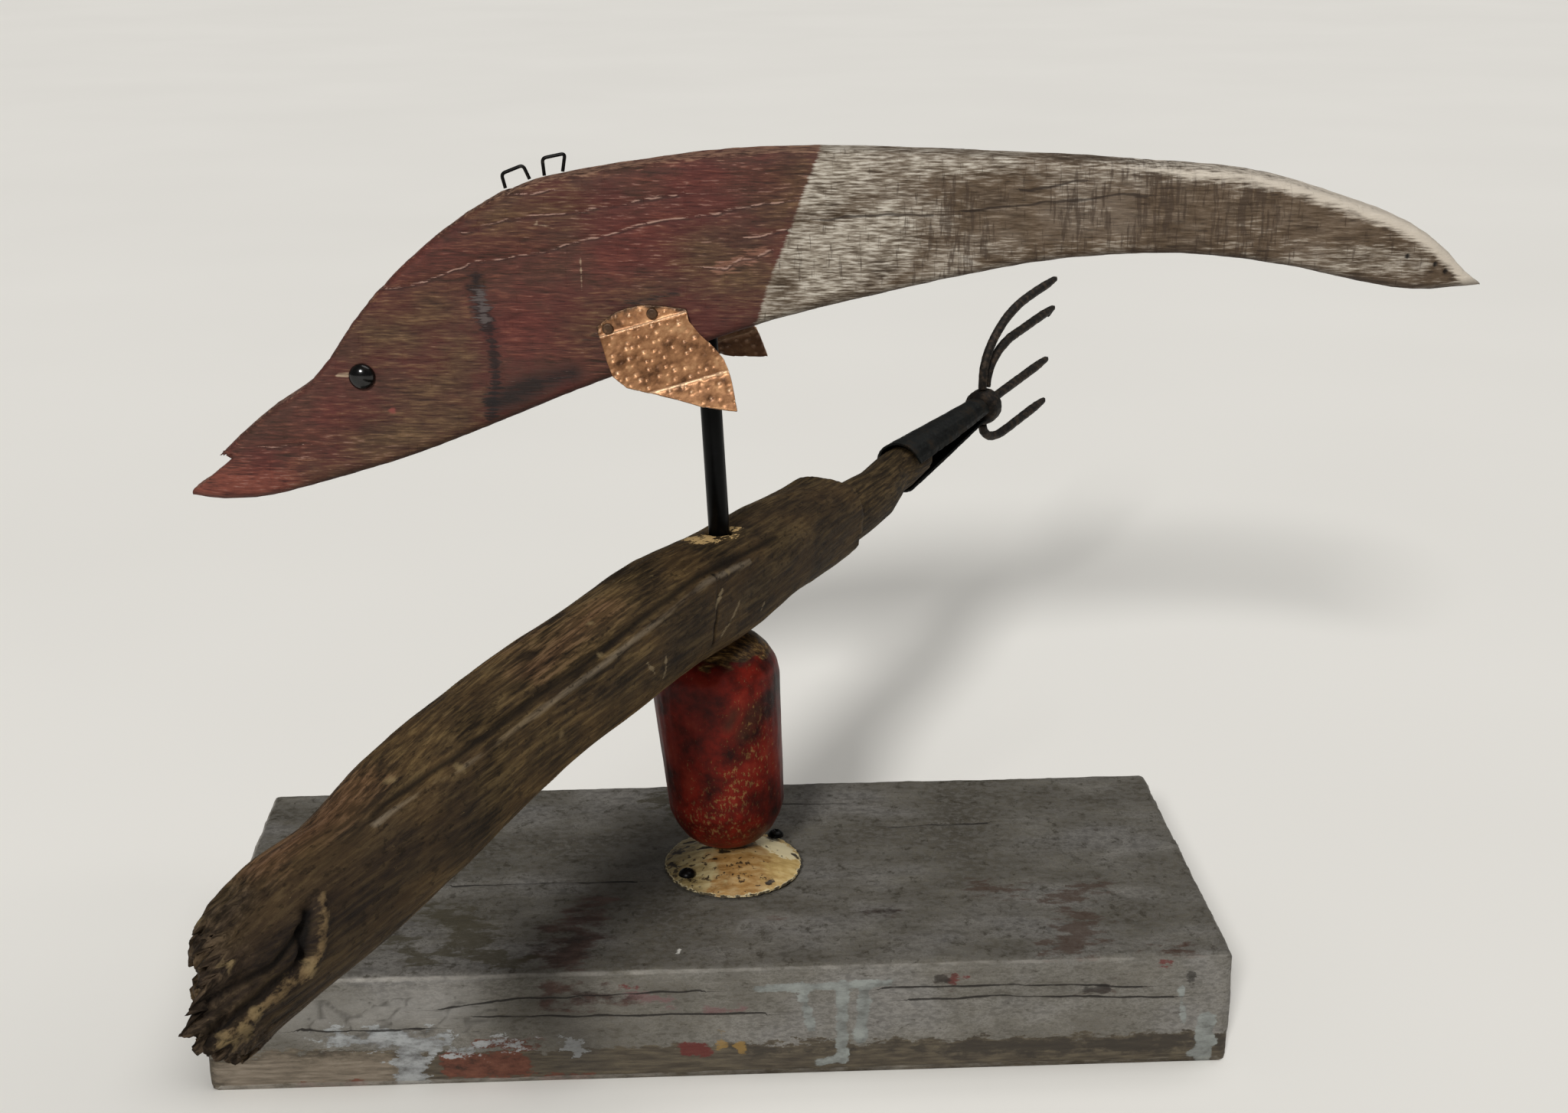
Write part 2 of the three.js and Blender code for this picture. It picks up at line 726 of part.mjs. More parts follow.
TINES.forEach((spec, index) => {
  piece(collarGroup, `spear_tine_${index + 1}`, tineGeometry(spec), 0x2a221b, 0.65, 0.7);
});

// Fish: its origin is where the rod meets the belly
const fishScale = (share) => share * FISH_LENGTH;
const fishX = (share) => fishScale(share - FISH_ROD_SHARE);
const bellyAtRod = fishScale(profileAt(FISH_BELLY, FISH_ROD_SHARE));
const fishZ = (share) => fishScale(share) - bellyAtRod;
const rodTop = new THREE.Vector3(0, 0, ROD_IN_BOUGH + ROD_FREE_LENGTH);
rodGroup.updateMatrix();
rodTop.applyMatrix4(rodGroup.matrix);
const fishGroup = group(decoy, rodTop.toArray(), { z: deg(FISH_TURN_DEG) });

// Rounded board section at one place along the fish
function fishRing(share) {
  const top = fishZ(profileAt(FISH_BACK, share));
  const low = fishZ(profileAt(FISH_BELLY, share));
  const half = (FISH_THICKNESS / 2) * profileAt(FISH_HALF_THICKNESS, share);
  const tall = Math.max((top - low) / 2, 0.4);
  const middle = (top + low) / 2;
  const round = Math.min(FISH_EDGE_ROUND, tall * 0.9, half * 0.85);
  const ring = [];
  const steps = 3;
  for (const [y, z, from] of [[1, 1, 0], [-1, 1, 90], [-1, -1, 180], [1, -1, 270]]) {
    for (let step = 0; step <= steps; step += 1) {
      const angle = deg(from + 90 * (step / steps));
      ring.push(new THREE.Vector3(
        fishX(share),
        y * (half - round) + round * Math.cos(angle),
        middle + z * (tall - round) + round * Math.sin(angle),
      ));
    }
  }
  return ring;
}

function fishGeometry() {
  const rings = [];
  for (let step = 0; step <= FISH_STATIONS; step += 1) {
    const share = step / FISH_STATIONS;
    rings.push(fishRing(share - FISH_END_CROWDING * Math.sin(2 * Math.PI * share)));
  }
  return loft(rings);
}

function mouthTool() {
  const outline = MOUTH.map(([x, z]) => new THREE.Vector2(fishX(x), fishZ(z)));
  const reach = FISH_THICKNESS * 2;
  return new THREE.ExtrudeGeometry(new THREE.Shape(outline), { depth: reach, bevelEnabled: false })
    .rotateX(Math.PI / 2)
    .translate(0, reach / 2, 0);
}

const fishBody = cut(fishGeometry(), mouthTool(), carried(rodBore, rodGroup, fishGroup));
piece(fishGroup, 'fish_body', fishBody, 0x6e3a37, 0.7);

// Eye tacks
const faceOut = FISH_THICKNESS / 2 + TOUCH_GAP;
for (const [name, side] of [['eye_tack_near', -1], ['eye_tack_far', 1]]) {
  const eye = group(
    fishGroup, [fishX(EYE_PLACE[0]), side * faceOut, fishZ(EYE_PLACE[1])], { x: side * -Math.PI / 2 },
  );
  piece(eye, name, domeHead(TACK_RADIUS, TACK_HEIGHT), 0x0b0b0b, 0.2, 0.4);
}

// Fins. A sheet point is given along and down from the upper fold, and how far off the sheet.
function finPoint({ side, splayDeg, shift }, along, down, off) {
  const splay = deg(splayDeg);
  const lowSplay = splay + deg(FIN_LOW_FOLD_DEG);
  const flat = Math.min(down, 0);
  const main = THREE.MathUtils.clamp(down, 0, FIN_LOW_FOLD);
  const low = Math.max(down - FIN_LOW_FOLD, 0);
  const bend = (down < 0 ? 0 : down === 0 ? splay / 2 : down > FIN_LOW_FOLD ? lowSplay : splay);
  const drop = flat + main * Math.cos(splay) + low * Math.cos(lowSplay) - off * Math.sin(bend);
  const out = main * Math.sin(splay) + low * Math.sin(lowSplay) + off * Math.cos(bend);
  const rise = deg(FIN_FOLD_RISE_DEG);
  const run = along + shift;
  return new THREE.Vector3(
    fishX(FIN_FOLD_START[0]) + run * Math.cos(rise) + drop * Math.sin(rise),
    side * (faceOut + out),
    fishZ(FIN_FOLD_START[1]) + run * Math.sin(rise) - drop * Math.cos(rise),
  );
}

// Rows of the sheet from the flange's edge to the tip, each an even run from front to rear
function finGeometry(fin) {
  const columns = 8;
  const tip = FIN_FRONT.at(-1)[0];
  const rows = [-1, -0.5, 0];
  for (const share of [0.15, 0.4, 0.62, 0.82, 1]) rows.push(share * FIN_LOW_FOLD);
  for (const share of [0.3, 0.65, 1]) rows.push(FIN_LOW_FOLD + share * (tip - FIN_LOW_FOLD));
  const skin = (off) => rows.map((row) => {
    const line = [];
    for (let column = 0; column <= columns; column += 1) {
      const share = column / columns;
      const down = row < 0 ? row * profileAt(FIN_FLANGE, share) : row;
      const front = profileAt(FIN_FRONT, Math.max(row, 0));
      const rear = profileAt(FIN_REAR, Math.max(row, 0));
      line.push(finPoint(fin, front + (rear - front) * share, down, off));
    }
    return line;
  });
  return slab(skin(0), skin(FIN_SHEET));
}

// Closed sheet between two grids of points
function slab(inner, outer) {
  const [rows, columns] = [inner.length, inner[0].length];
  const points = [...inner.flat(), ...outer.flat()];
  const at = (layer, row, column) => (layer * rows + row) * columns + column;
  const faces = [];
  const quad = (a, b, c, d) => faces.push(a, b, c, a, c, d);
  for (let row = 0; row + 1 < rows; row += 1) {
    for (let column = 0; column + 1 < columns; column += 1) {
      const [r, c] = [row + 1, column + 1];
      quad(at(0, row, column), at(0, r, column), at(0, r, c), at(0, row, c));
      quad(at(1, row, column), at(1, row, c), at(1, r, c), at(1, r, column));
    }
  }
  for (let row = 0; row + 1 < rows; row += 1) {
    const [r, last] = [row + 1, columns - 1];
    quad(at(0, row, 0), at(1, row, 0), at(1, r, 0), at(0, r, 0));
    quad(at(0, r, last), at(1, r, last), at(1, row, last), at(0, row, last));
  }
  for (let column = 0; column + 1 < columns; column += 1) {
    const [c, last] = [column + 1, rows - 1];
    quad(at(0, 0, c), at(1, 0, c), at(1, 0, column), at(0, 0, column));
    quad(at(0, last, column), at(1, last, column), at(1, last, c), at(0, last, c));
  }
  const geometry = new THREE.BufferGeometry().setFromPoints(points);
  geometry.setIndex(faces);
  return facedOut(geometry);
}

for (const [name, fin] of Object.entries(FINS)) {
  piece(fishGroup, name, finGeometry(fin), 0xb06d3c, 0.45, 0.8);
  FIN_NAILS.forEach(([along, up], index) => {
    const place = finPoint(fin, along, -up, FIN_SHEET + TOUCH_GAP);
    const nail = group(fishGroup, place.toArray(), { x: fin.side * -Math.PI / 2 });
    const label = name.replace('fin_', 'fin_nail_');
    const head = domeHead(FIN_NAIL_RADIUS, FIN_NAIL_HEIGHT, 3, 12);
    piece(nail, `${label}_${index + 1}`, head, 0x8a5a34, 0.5, 0.8);
  });
}

// Wire loops stand on the fish's back
function loopCurve(feet) {
  const path = new THREE.CurvePath();
  let from = feet[0];
  for (let corner = 1; corner + 1 < feet.length; corner += 1) {
    const before = feet[corner].clone().lerp(
      feet[corner - 1], WIRE_BEND / feet[corner].distanceTo(feet[corner - 1]),
    );
    const after = feet[corner].clone().lerp(
      feet[corner + 1], WIRE_BEND / feet[corner].distanceTo(feet[corner + 1]),
    );
    path.add(new THREE.LineCurve3(from, before));
    path.add(new THREE.QuadraticBezierCurve3(before, feet[corner], after));
    from = after;
  }
  path.add(new THREE.LineCurve3(from, feet.at(-1)));
  return path;
}

for (const [name, { place, span, corners }] of Object.entries(LINE_LOOPS)) {
  const [front, rear] = [0, span].map((run) => {
    const back = fishZ(profileAt(FISH_BACK, place + run / FISH_LENGTH));
    return new THREE.Vector3(fishX(place) + run, 0, back + TOUCH_GAP + WIRE_RADIUS / 2);
  });
  const bends = corners.map(([x, z]) => new THREE.Vector3(x, 0, z).add(front));
  const wire = bar(loopCurve([front, ...bends, rear]), 24, 6, () => WIRE_RADIUS);
  piece(fishGroup, name, wire, 0x17130f, 0.4, 0.8);
}

export default decoy;
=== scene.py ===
import math

import bmesh
import bpy
import numpy as np
from mathutils import Matrix, Vector, kdtree, noise


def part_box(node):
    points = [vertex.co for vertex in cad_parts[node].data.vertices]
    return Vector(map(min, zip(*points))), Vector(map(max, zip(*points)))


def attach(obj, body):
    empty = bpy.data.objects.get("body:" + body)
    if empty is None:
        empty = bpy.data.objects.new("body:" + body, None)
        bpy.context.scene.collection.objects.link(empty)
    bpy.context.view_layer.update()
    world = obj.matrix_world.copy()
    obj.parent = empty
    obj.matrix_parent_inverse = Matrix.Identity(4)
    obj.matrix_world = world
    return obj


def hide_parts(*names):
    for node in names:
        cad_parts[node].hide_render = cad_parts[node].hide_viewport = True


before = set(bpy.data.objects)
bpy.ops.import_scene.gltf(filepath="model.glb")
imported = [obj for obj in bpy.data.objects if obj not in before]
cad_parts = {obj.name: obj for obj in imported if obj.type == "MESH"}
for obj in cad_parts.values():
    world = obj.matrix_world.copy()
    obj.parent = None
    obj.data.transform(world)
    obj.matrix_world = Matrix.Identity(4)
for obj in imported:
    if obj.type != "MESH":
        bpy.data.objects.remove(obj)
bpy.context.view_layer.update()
scene = bpy.context.scene

# Plank
# A length of dressed softwood two-by-six, brushed with grey oil paint over older coats of brick red and
# pale blue. Out of doors the paint has worn to a pale line on the front arris, and it has crazed and
# flaked off the foot.
MM = 0.001
PLANK_FACE = 1.25
PLANK_HALF_LENGTH, PLANK_HALF_WIDTH, PLANK_TOP = np.round(np.array(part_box("base_board")[1]) / MM, 2)
# What a mark holds where a piece has none of it
OUTSIDE = -9


def linear(code):
    """An sRGB hex colour as linear red, green, blue and alpha."""
    channels = [int(code[i : i + 2], 16) / 255 for i in (0, 2, 4)]
    return [c / 12.92 if c <= 0.04045 else ((c + 0.055) / 1.055) ** 2.4 for c in channels] + [1.0]


def add(tree, kind, inputs=None, stops=None, out=None, **settings):
    """Adds a node with its settings, its inputs (values, hex colours or other nodes' outputs) and a
    ramp's stops. Gives the output asked for, or else the first one in use."""
    made = tree.nodes.new("ShaderNode" + kind)
    for name, value in settings.items():
        setattr(made, name, value)
    for order, (place, code) in enumerate((stops or {}).items()):
        elements = made.color_ramp.elements
        stop = elements[order] if order < 2 else elements.new(place)
        stop.position = place
        stop.color = linear(code)
    for name, value in (inputs or {}).items():
        if isinstance(value, bpy.types.NodeSocket):
            tree.links.new(value, made.inputs[name])
        else:
            made.inputs[name].default_value = linear(value) if isinstance(value, str) else value
    if out is not None:
        return made.outputs[out]
    return next((socket for socket in made.outputs if socket.enabled), None)


def new_finish(name, roughness, metallic=0.0, shine=0.5, own=None):
    """An empty material with its surface shader, given as material, node tree, shader and place in mm: on
    Object coordinates, or in a piece's own mark. Dull, porous surfaces have less shine than the usual 0.5."""
    finish = bpy.data.materials.new(name)
    finish.use_nodes = True
    tree = finish.node_tree
    tree.nodes.clear()
    inputs = {"Roughness": roughness, "Metallic": metallic, "Specular IOR Level": shine}
    surface = add(tree, "BsdfPrincipled", inputs)
    add(tree, "OutputMaterial", {"Surface": surface})
    if own:
        spot = add(tree, "Attribute", out="Vector", attribute_name=own)
    else:
        spot = add(tree, "TexCoord", out="Object")
        spot = add(tree, "Mapping", {"Vector": spot, "Scale": (1 / MM, 1 / MM, 1 / MM)})
    return finish, tree, surface.node, spot


def pattern(tree, spot, sizes, detail, roughness=0.5, turn=0.0):
    """A noise whose largest waves have the given size or sizes in mm, turned about Z in radians."""
    scale = (1 / (np.ones(3) * sizes)).tolist()
    spread = add(tree, "Mapping", {"Vector": spot, "Rotation": (0, 0, turn), "Scale": scale})
    return add(tree, "TexNoise", {"Vector": spread, "Scale": 1, "Detail": detail, "Roughness": roughness})


def laid(tree, colour, tone, value, start, full, most=1.0):
    """A tone laid over a colour, from none of it where a value is at start to the most where it is full.
    The tone is a hex colour, another node's output, or a pattern with its tones as a ramp's stops."""
    if isinstance(tone, tuple):
        tone = add(tree, "ValToRGB", {"Fac": tone[0]}, tone[1])
    cover = add(tree, "MapRange", {0: value, 1: start, 2: full, 4: most})
    return add(tree, "Mix", {0: cover, 6: colour, 7: tone}, data_type="RGBA")


def washed(tree, colour, value, stops, share):
    """A pattern's tones, washed over a colour by a share."""
    tones = add(tree, "ValToRGB", {"Fac": value}, stops)
    return add(tree, "Mix", {0: share, 6: colour, 7: tones}, data_type="RGBA")


def marked(tree, colour, name, tone, start, full, most=1.0, fray=None, ragged=0.0):
    """A tone laid over a colour where a piece's mark goes from start to full, its edge made ragged in mm
    by a pattern."""
    value = add(tree, "Attribute", out="Fac", attribute_name=name)
    if fray is not None:
        wobble = add(tree, "Math", {0: fray, 1: 0.5}, operation="SUBTRACT")
        value = add(tree, "Math", {0: wobble, 1: ragged, 2: value}, operation="MULTIPLY_ADD")
    return laid(tree, colour, tone, value, start, full, most)


def clothe(tree, shader, colour, rough=None, height=None, depth=0.5, strength=0.5, **settings):
    """Joins a finish's colour and roughness to its shader, with a relief too fine for the mesh, its depth
    in mm."""
    joined = {"Base Color": colour, "Roughness": rough, "Normal": None}
    if height is not None:
        inputs = {"Strength": strength, "Distance": depth * MM, "Height": height}
        joined["Normal"] = add(tree, "Bump", inputs, **settings)
    for name, value in joined.items():
        if value is not None:
            tree.links.new(value, shader.inputs[name])


def near_spots(places):
    """A finder of the nearest one of some places."""
    finder = kdtree.KDTree(len(places))
    for order, place in enumerate(places):
        finder.insert(place, order)
    finder.balance()
    return finder


def even_skin(node, name, face, smoothing, crisp=False):
    """A copy of a CAD node's mesh, merged and cut into even faces, so that relief can be worked into it.
    A crisp one is drawn back onto the solid after smoothing, and its sharp edges are made sharp again."""
    shape = bmesh.new()
    shape.from_mesh(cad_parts[node].data)
    bmesh.ops.remove_doubles(shape, verts=shape.verts, dist=0.01 * MM)
    rims = []
    for edge in shape.edges:
        if crisp and edge.calc_face_angle(0) > 0.6:
            start, end = (vert.co for vert in edge.verts)
            steps = 1 + int((end - start).length / (0.5 * face * MM))
            rims += [start.lerp(end, step / steps) for step in range(steps + 1)]
    plain = bpy.data.meshes.new(name + "_plain")
    shape.to_mesh(plain)
    shape.free()
    solid = bpy.data.objects.new(name + "_plain", plain)
    piece = bpy.data.objects.new(name, plain)
    scene.collection.objects.link(solid)
    scene.collection.objects.link(piece)
    cut = piece.modifiers.new("even faces", "REMESH")
    cut.mode = "VOXEL"
    cut.voxel_size = face * MM
    if smoothing:
        soften = piece.modifiers.new("soften", "SMOOTH")
        soften.factor = 0.5
        soften.iterations = smoothing
    if crisp:
        hug = piece.modifiers.new("onto the solid", "SHRINKWRAP")
        hug.target = solid
    depsgraph = bpy.context.evaluated_depsgraph_get()
    piece.data = bpy.data.meshes.new_from_object(piece.evaluated_get(depsgraph))
    piece.data.name = name
    piece.modifiers.clear()
    bpy.data.objects.remove(solid)
    bpy.data.meshes.remove(plain)
    spots = near_spots([vert.co for vert in piece.data.vertices])
    for rim in rims:
        _, index, away = spots.find(rim)
        if away < face * MM:
            piece.data.vertices[index].co = rim
    return piece


def skin_of(piece):
    """The places of a piece's vertices in mm, and their normals."""
    count = len(piece.data.vertices)
    places, normals = np.empty(count * 3, np.float32), np.empty(count * 3, np.float32)
    piece.data.vertices.foreach_get("co", places)
    piece.data.vertex_normals.foreach_get("vector", normals)
    return places.reshape(-1, 3).astype(float) / MM, normals.reshape(-1, 3).astype(float)


def reshape(piece, places, node):
    """Moves a piece's vertices to places in mm, kept inside its CAD node's box."""
    low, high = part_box(node)
    kept = np.clip(places * MM, np.array(low), np.array(high))
    piece.data.vertices.foreach_set("co", kept.astype(np.float32).ravel())
    piece.data.update()


def waves(places, sizes, seed=0.0, octaves=3):
    """Smooth noise from about -1 to 1 at each place, its largest waves of the given sizes in mm."""
    spots = (places / np.array(sizes) + seed).tolist()
    return np.array([noise.fractal(spot, 1.0, 2.0, octaves) for spot in spots])


def plates(places, sizes):
    """How far each place lies inside a plate of crackled paint of about the given sizes: 0 at a crack."""
    found = [noise.voronoi(spot)[0] for spot in (places / np.array(sizes)).tolist()]
    return np.array([second - first for first, second, *_ in found])


def from_line(spots, line):
    """The distance in mm from each spot to a line through a few points."""
    nearest = np.full(len(spots), 1e6)
    for start, end in zip(np.array(line, float), np.array(line[1:], float)):
        way = end - start
        share = np.clip((spots - start) @ way / (way @ way), 0, 1)
        nearest = np.minimum(nearest, np.linalg.norm(spots - start - share[:, None] * way, axis=1))
    return nearest


def in_blots(spots, blots):
    """How deep in mm each spot lies inside the nearest of some blots, each two ends and a radius."""
    return np.max([radius - from_line(spots, [start, end]) for start, end, radius in blots], axis=0)


def over_line(spots, line, wander):
    """How far in mm each spot lies above a line that runs lengthways, growing fast past the line's ends."""
    runs, ups = np.transpose(line)
    past = np.maximum(0, np.maximum(runs[0] - spots[:, 0], spots[:, 0] - runs[-1]))
    over = spots[:, 1] - np.interp(spots[:, 0], runs, ups) + wander
    return over + np.copysign(past, over)


def mark(piece, masks):
    """Keeps one number for each vertex under each mark's name, for the piece's material to read."""
    for name, values in masks.items():
        kept = piece.data.attributes.new(name, "FLOAT", "POINT")
        kept.data.foreach_set("value", values.astype(np.float32))


def bell(distance, width):
    """A soft ridge or groove: 1 on a line and less with distance, its half width in mm."""
    return np.exp(-((distance / width) ** 2))


def show(piece, finish, slot, *nodes):
    """Gives a finished piece its material, smooth shading and its body, and hides the CAD solids that it
    stands for. The slot is not used.
    """
    piece.data.materials.clear()
    piece.data.materials.append(finish)
    piece.data.shade_smooth()
    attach(piece, "root")
    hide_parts(*nodes)


# Where the paint ends on the front: places along and up the front face
PAINT_FOOT = [
    [-160, 12.5], [-124, 14], [-92, 13], [-61, 11.5], [-30, 12], [13, 11.8], [60, 11.3], [120, 11.3],
    [160, 10.6],
]
# Blots on the front, as two ends along and up it and a radius
FRONT_BLOTS = {
    "tan": [[(-150, 5), (-106, 5), 9]],
    "tar": [[(3, 9.4), (22, 8.8), 2.2], [(26, 8.8), (62, 8.8), 1.8], [(70, 7.4), (158, 7), 3.6]],
    # A pale chalky coat on the left of the front, partly painted light that lifts the shade the driftwood
    # throws there.
    "chalk_and_painted_light": [[(-150, 26), (-78, 26), 10]],
    "tarred": [
        [(66, 32.4), (68.5, 31.8), 1.4], [(113, 27.4), (119, 26.8), 1.8], [(146, 31), (146.6, 27), 1.0],
    ],
    "brick": [
        [(-84, 7), (-64, 6), 4.8], [(-56, 1.4), (-42, 1), 1.6], [(-76, 14), (-56, 13.4), 2.2],
        [(-132, 0.6), (-112, 0.6), 1.2], [(-109, 15.4), (-106, 15), 1.5],
    ],
    "flakes": [
        [(-96, 13), (-97, 1), 5.6], [(-121, 17.5), (-106, 15), 2.5], [(-108, 18), (-86, 15), 2.6],
        [(-83, 12.6), (-75, 12), 1.5], [(-73, 14.4), (-57, 13.6), 1.0], [(-51, 14), (-46, 12), 1.6],
    ],
    "runs": [
        [(24.1, 31.5), (27.4, 16), 1.7], [(36.9, 31), (37, 5), 2.1], [(29.6, 3.8), (37.5, 5.4), 1.6],
        [(44, 30), (42.8, 11.5), 2.3], [(10, 30.6), (52, 31), 1.5], [(142.8, 27), (144.3, 15), 1.0],
        [(151.4, 15), (150.8, 2), 3.2], [(147, 3), (154, 7), 1.6],
    ],
    "red": [
        [(-10.6, 10.2), (-6.5, 9.4), 3], [(71, 31.6), (76, 31.6), 1], [(-31, 32.4), (-26, 32.4), 0.9],
        [(136, 36), (140, 35.6), 0.9],
    ],
    "yellow": [[(-1, 13.4), (-0.8, 11.4), 1.9], [(5.2, 11), (5.6, 9.2), 1.7]],
    "pink": [[(-30, 30.6), (-17, 26), 1.6], [(-4, 22.6), (6, 23), 1.2]],
    # The first is painted shadow, where the driftwood's broken end shades the front; the rest are small dark
    # patches on the paint.
    "shade_and_dark_patches": [
        [(-50, 30), (-44, 10), 12], [(108, 27), (118, 26), 2.5], [(60, 22), (84, 26), 2.5],
        [(150, 28), (152, 20), 1.2],
    ],
    # The first two are painted shadow of the driftwood, running over the arris; the rest are stains.
    "stain_and_shadow": [
        [(-52, 34), (-36, 28), 4], [(-55, 27.4), (-28, 27), 2.2], [(66, 32), (69, 31.5), 1],
        [(114, 27), (119, 26.6), 2],
    ],
}
# Blots on the top, as two ends along and across it and a radius
TOP_BLOTS = {
    # The first four are painted shadow, where the driftwood shades the top; the rest are stains.
    "stain_and_shadow": [
        [(-50, -62), (-44, -48), 8], [(-54, -40), (-40, -34), 6], [(-46, -30), (-38, -20), 5],
        [(-60, -58), (-54, -52), 4], [(50, -34.6), (58, -35), 2.4], [(18, -38), (22, -38.4), 1.6],
        [(140, -66), (146, -64), 2.4],
    ],
    "olive": [
        [(-90, -28), (-76, -46), 8], [(-84, -52), (-66, -62), 7], [(-100, -44), (-92, -60), 4],
        [(-16, 56), (-4, 46), 9],
    ],
    "rust": [
        [(108, -62), (116, -44), 8], [(112, -30), (122, -22), 6], [(88, -20), (96, -24), 5],
        [(138, -68), (143, -66), 4],
    ],
    "nick": [[(-13.7, -59.4), (-13, -56.6), 0.8]],
}
FRONT_CRACKS = [
    [(-87, 26.3), (-70, 28.7), (-6, 30.3)], [(-77, 23.3), (-30, 22.4), (13, 22)],
    [(49, 29.1), (92, 29), (131, 27)], [(58, 24.6), (84, 25.4), (112, 24.2), (141, 23.4)],
    [(-130, 20.6), (-118, 19.4), (-92, 19.9)],
]
TOP_CRACKS = [[(-88, -8), (-60, -7), (-27, -8)], [(60, 30), (96, 31)], [(12, 52), (48, 50)]]

CRACKLED = [[(-122, 24), (-76, 24), 12]]
# How far round an arris the paint is worn, and how thick the layer is that counts as a face
ARRIS_WEAR = 2.6
FRONT_LAYER = 1.6
TOP_LAYER = 1.2

plank = even_skin("base_board", "weathered_plank", PLANK_FACE, 1)
places, normals = skin_of(plank)
x, y, z = places.T
front, top = y < -PLANK_HALF_WIDTH + FRONT_LAYER, z > PLANK_TOP - TOP_LAYER
on_front, on_top = places[:, [0, 2]], places[:, :2]
to_sides = [PLANK_HALF_LENGTH - abs(x), PLANK_HALF_WIDTH - abs(y), np.minimum(z, PLANK_TOP - z)]
to_sides = np.sort(to_sides, axis=0)
arris = np.clip(1 - (to_sides[0] + to_sides[1]) / ARRIS_WEAR, 0, 1)
plate = plates(places, (13, 7, 6))
crackled = np.clip(in_blots(on_front, CRACKLED) / 5, 0, 1) * front
drift = 0.5 * waves(places, (11, 6, 6), 21)
cracks = [np.where(front, over_line(on_front, line, drift), 9) for line in FRONT_CRACKS]
cracks += [np.where(top, over_line(on_top, line, drift), 9) for line in TOP_CRACKS]
masks = {name: np.where(top, in_blots(on_top, blots), OUTSIDE) for name, blots in TOP_BLOTS.items()}
for name, blots in FRONT_BLOTS.items():
    masks[name] = np.where(front, in_blots(on_front, blots), masks.get(name, OUTSIDE))
masks |= {
    "bare": np.where(top, OUTSIDE, np.interp(x, *np.transpose(PAINT_FOOT)) - z),
    "arris": arris * np.where(front | top, np.interp(x, [-160, -60, 0, 160], [1, 0.95, 0.7, 0.6]), 0.6),
    "crazed": 9 - 8.4 * crackled + 4 * plate,
    "upward": np.clip(normals[:, 2], 0, 1),
}
mark(plank, masks | {f"crack_{order}": values for order, values in enumerate(cracks)})
# Depths in mm: grain and slow hollows, worn arrises, bare wood under the paint's edge, flakes and runs that
# stand up, checks, and crazed paint that curls up beside each crack. The underside stays flat.
sunk = 0.1 + 0.1 * waves(places, (60, 1.8, 1.8), 1) + 0.18 * (1 + waves(places, (45, 22, 12), 2))
sunk += 0.8 * arris * (1 + waves(places, (9, 5, 5), 4, 4))
sunk += 0.3 * np.clip((masks["bare"] + 1.5 * waves(places, (7, 5, 3), 3, 4)) / 0.8, 0, 1)
raised = np.maximum(masks["flakes"], masks["runs"])
sunk -= 0.3 * np.clip((raised + waves(places, (5, 5, 3), 3, 4)) / 0.8, 0, 1)
sunk += 0.7 * bell(np.min(np.abs(cracks), axis=0), 0.8) * (1 + waves(places, (12, 6, 6), 22))
sunk += crackled * (0.45 * bell(plate, 0.1) - 0.25 * bell(plate - 0.22, 0.1))
sunk = np.where(z < 0.6, 0, np.maximum(sunk, 0))
reshape(plank, places - normals * sunk[:, None], "base_board")

# Old oil paint on softwood: dull, mottled by rain and dust, with its grain in fine lines along the plank.
finish, tree, shader, spot = new_finish("brushed_grey_oil_paint_on_softwood", 0.6, shine=0.2)
grain = pattern(tree, spot, (9.09, 2.222, 1), 6, 0.6)
mottle = pattern(tree, spot, (20, 11.11, 11.11), 8, 0.7)
clouds = pattern(tree, spot, (62.5, 35.71, 35.71), 4, 0.6)
fray = pattern(tree, spot, (8.333, 3.846, 3.846), 8, 0.7)
# The real pinholes and specks of dirt are finer than the render shows, so both are drawn coarser
pits = pattern(tree, spot, (2.632, 2.5, 1.25), 5, 0.7)
blots = pattern(tree, spot, (5, 7.692, 2.381), 7, 0.75)
side_stops = {0.34: "4f4b45", 0.46: "67645d", 0.54: "757169", 0.66: "8b877f"}
top_stops = {0.36: "3c372c", 0.46: "555046", 0.54: "645f54", 0.64: "7b766a"}
upward = add(tree, "Attribute", out="Fac", attribute_name="upward")
colour = washed(tree, add(tree, "ValToRGB", {"Fac": mottle}, side_stops), mottle, top_stops, upward)
colour = washed(tree, colour, clouds, {0.4: "433c2d", 0.5: "615d55", 0.6: "7c7a79"}, 0.45)
colour = washed(tree, colour, grain, {0.36: "403c35", 0.5: "68645d", 0.64: "7d7972"}, 0.16)
pit_share = add(tree, "Math", {0: clouds, 1: -0.5, 2: pits}, operation="MULTIPLY_ADD")
pit_share = add(tree, "Math", {0: upward, 1: 0.035, 2: pit_share}, operation="MULTIPLY_ADD")
pitted = add(tree, "MapRange", {0: pit_share, 1: 0.315, 2: 0.345, 4: 0.7})
colour = add(tree, "Mix", {0: pitted, 6: colour, 7: "332e26"}, data_type="RGBA")
blot_share = add(tree, "Math", {0: upward, 1: 0.04, 2: blots}, operation="MULTIPLY_ADD")
colour = laid(tree, colour, "342f25", blot_share, 0.6, 0.635, 0.7)
colour = washed(tree, colour, pits, {0.42: "3a352d", 0.49: "625e56", 0.57: "8b877f"}, 0.3)
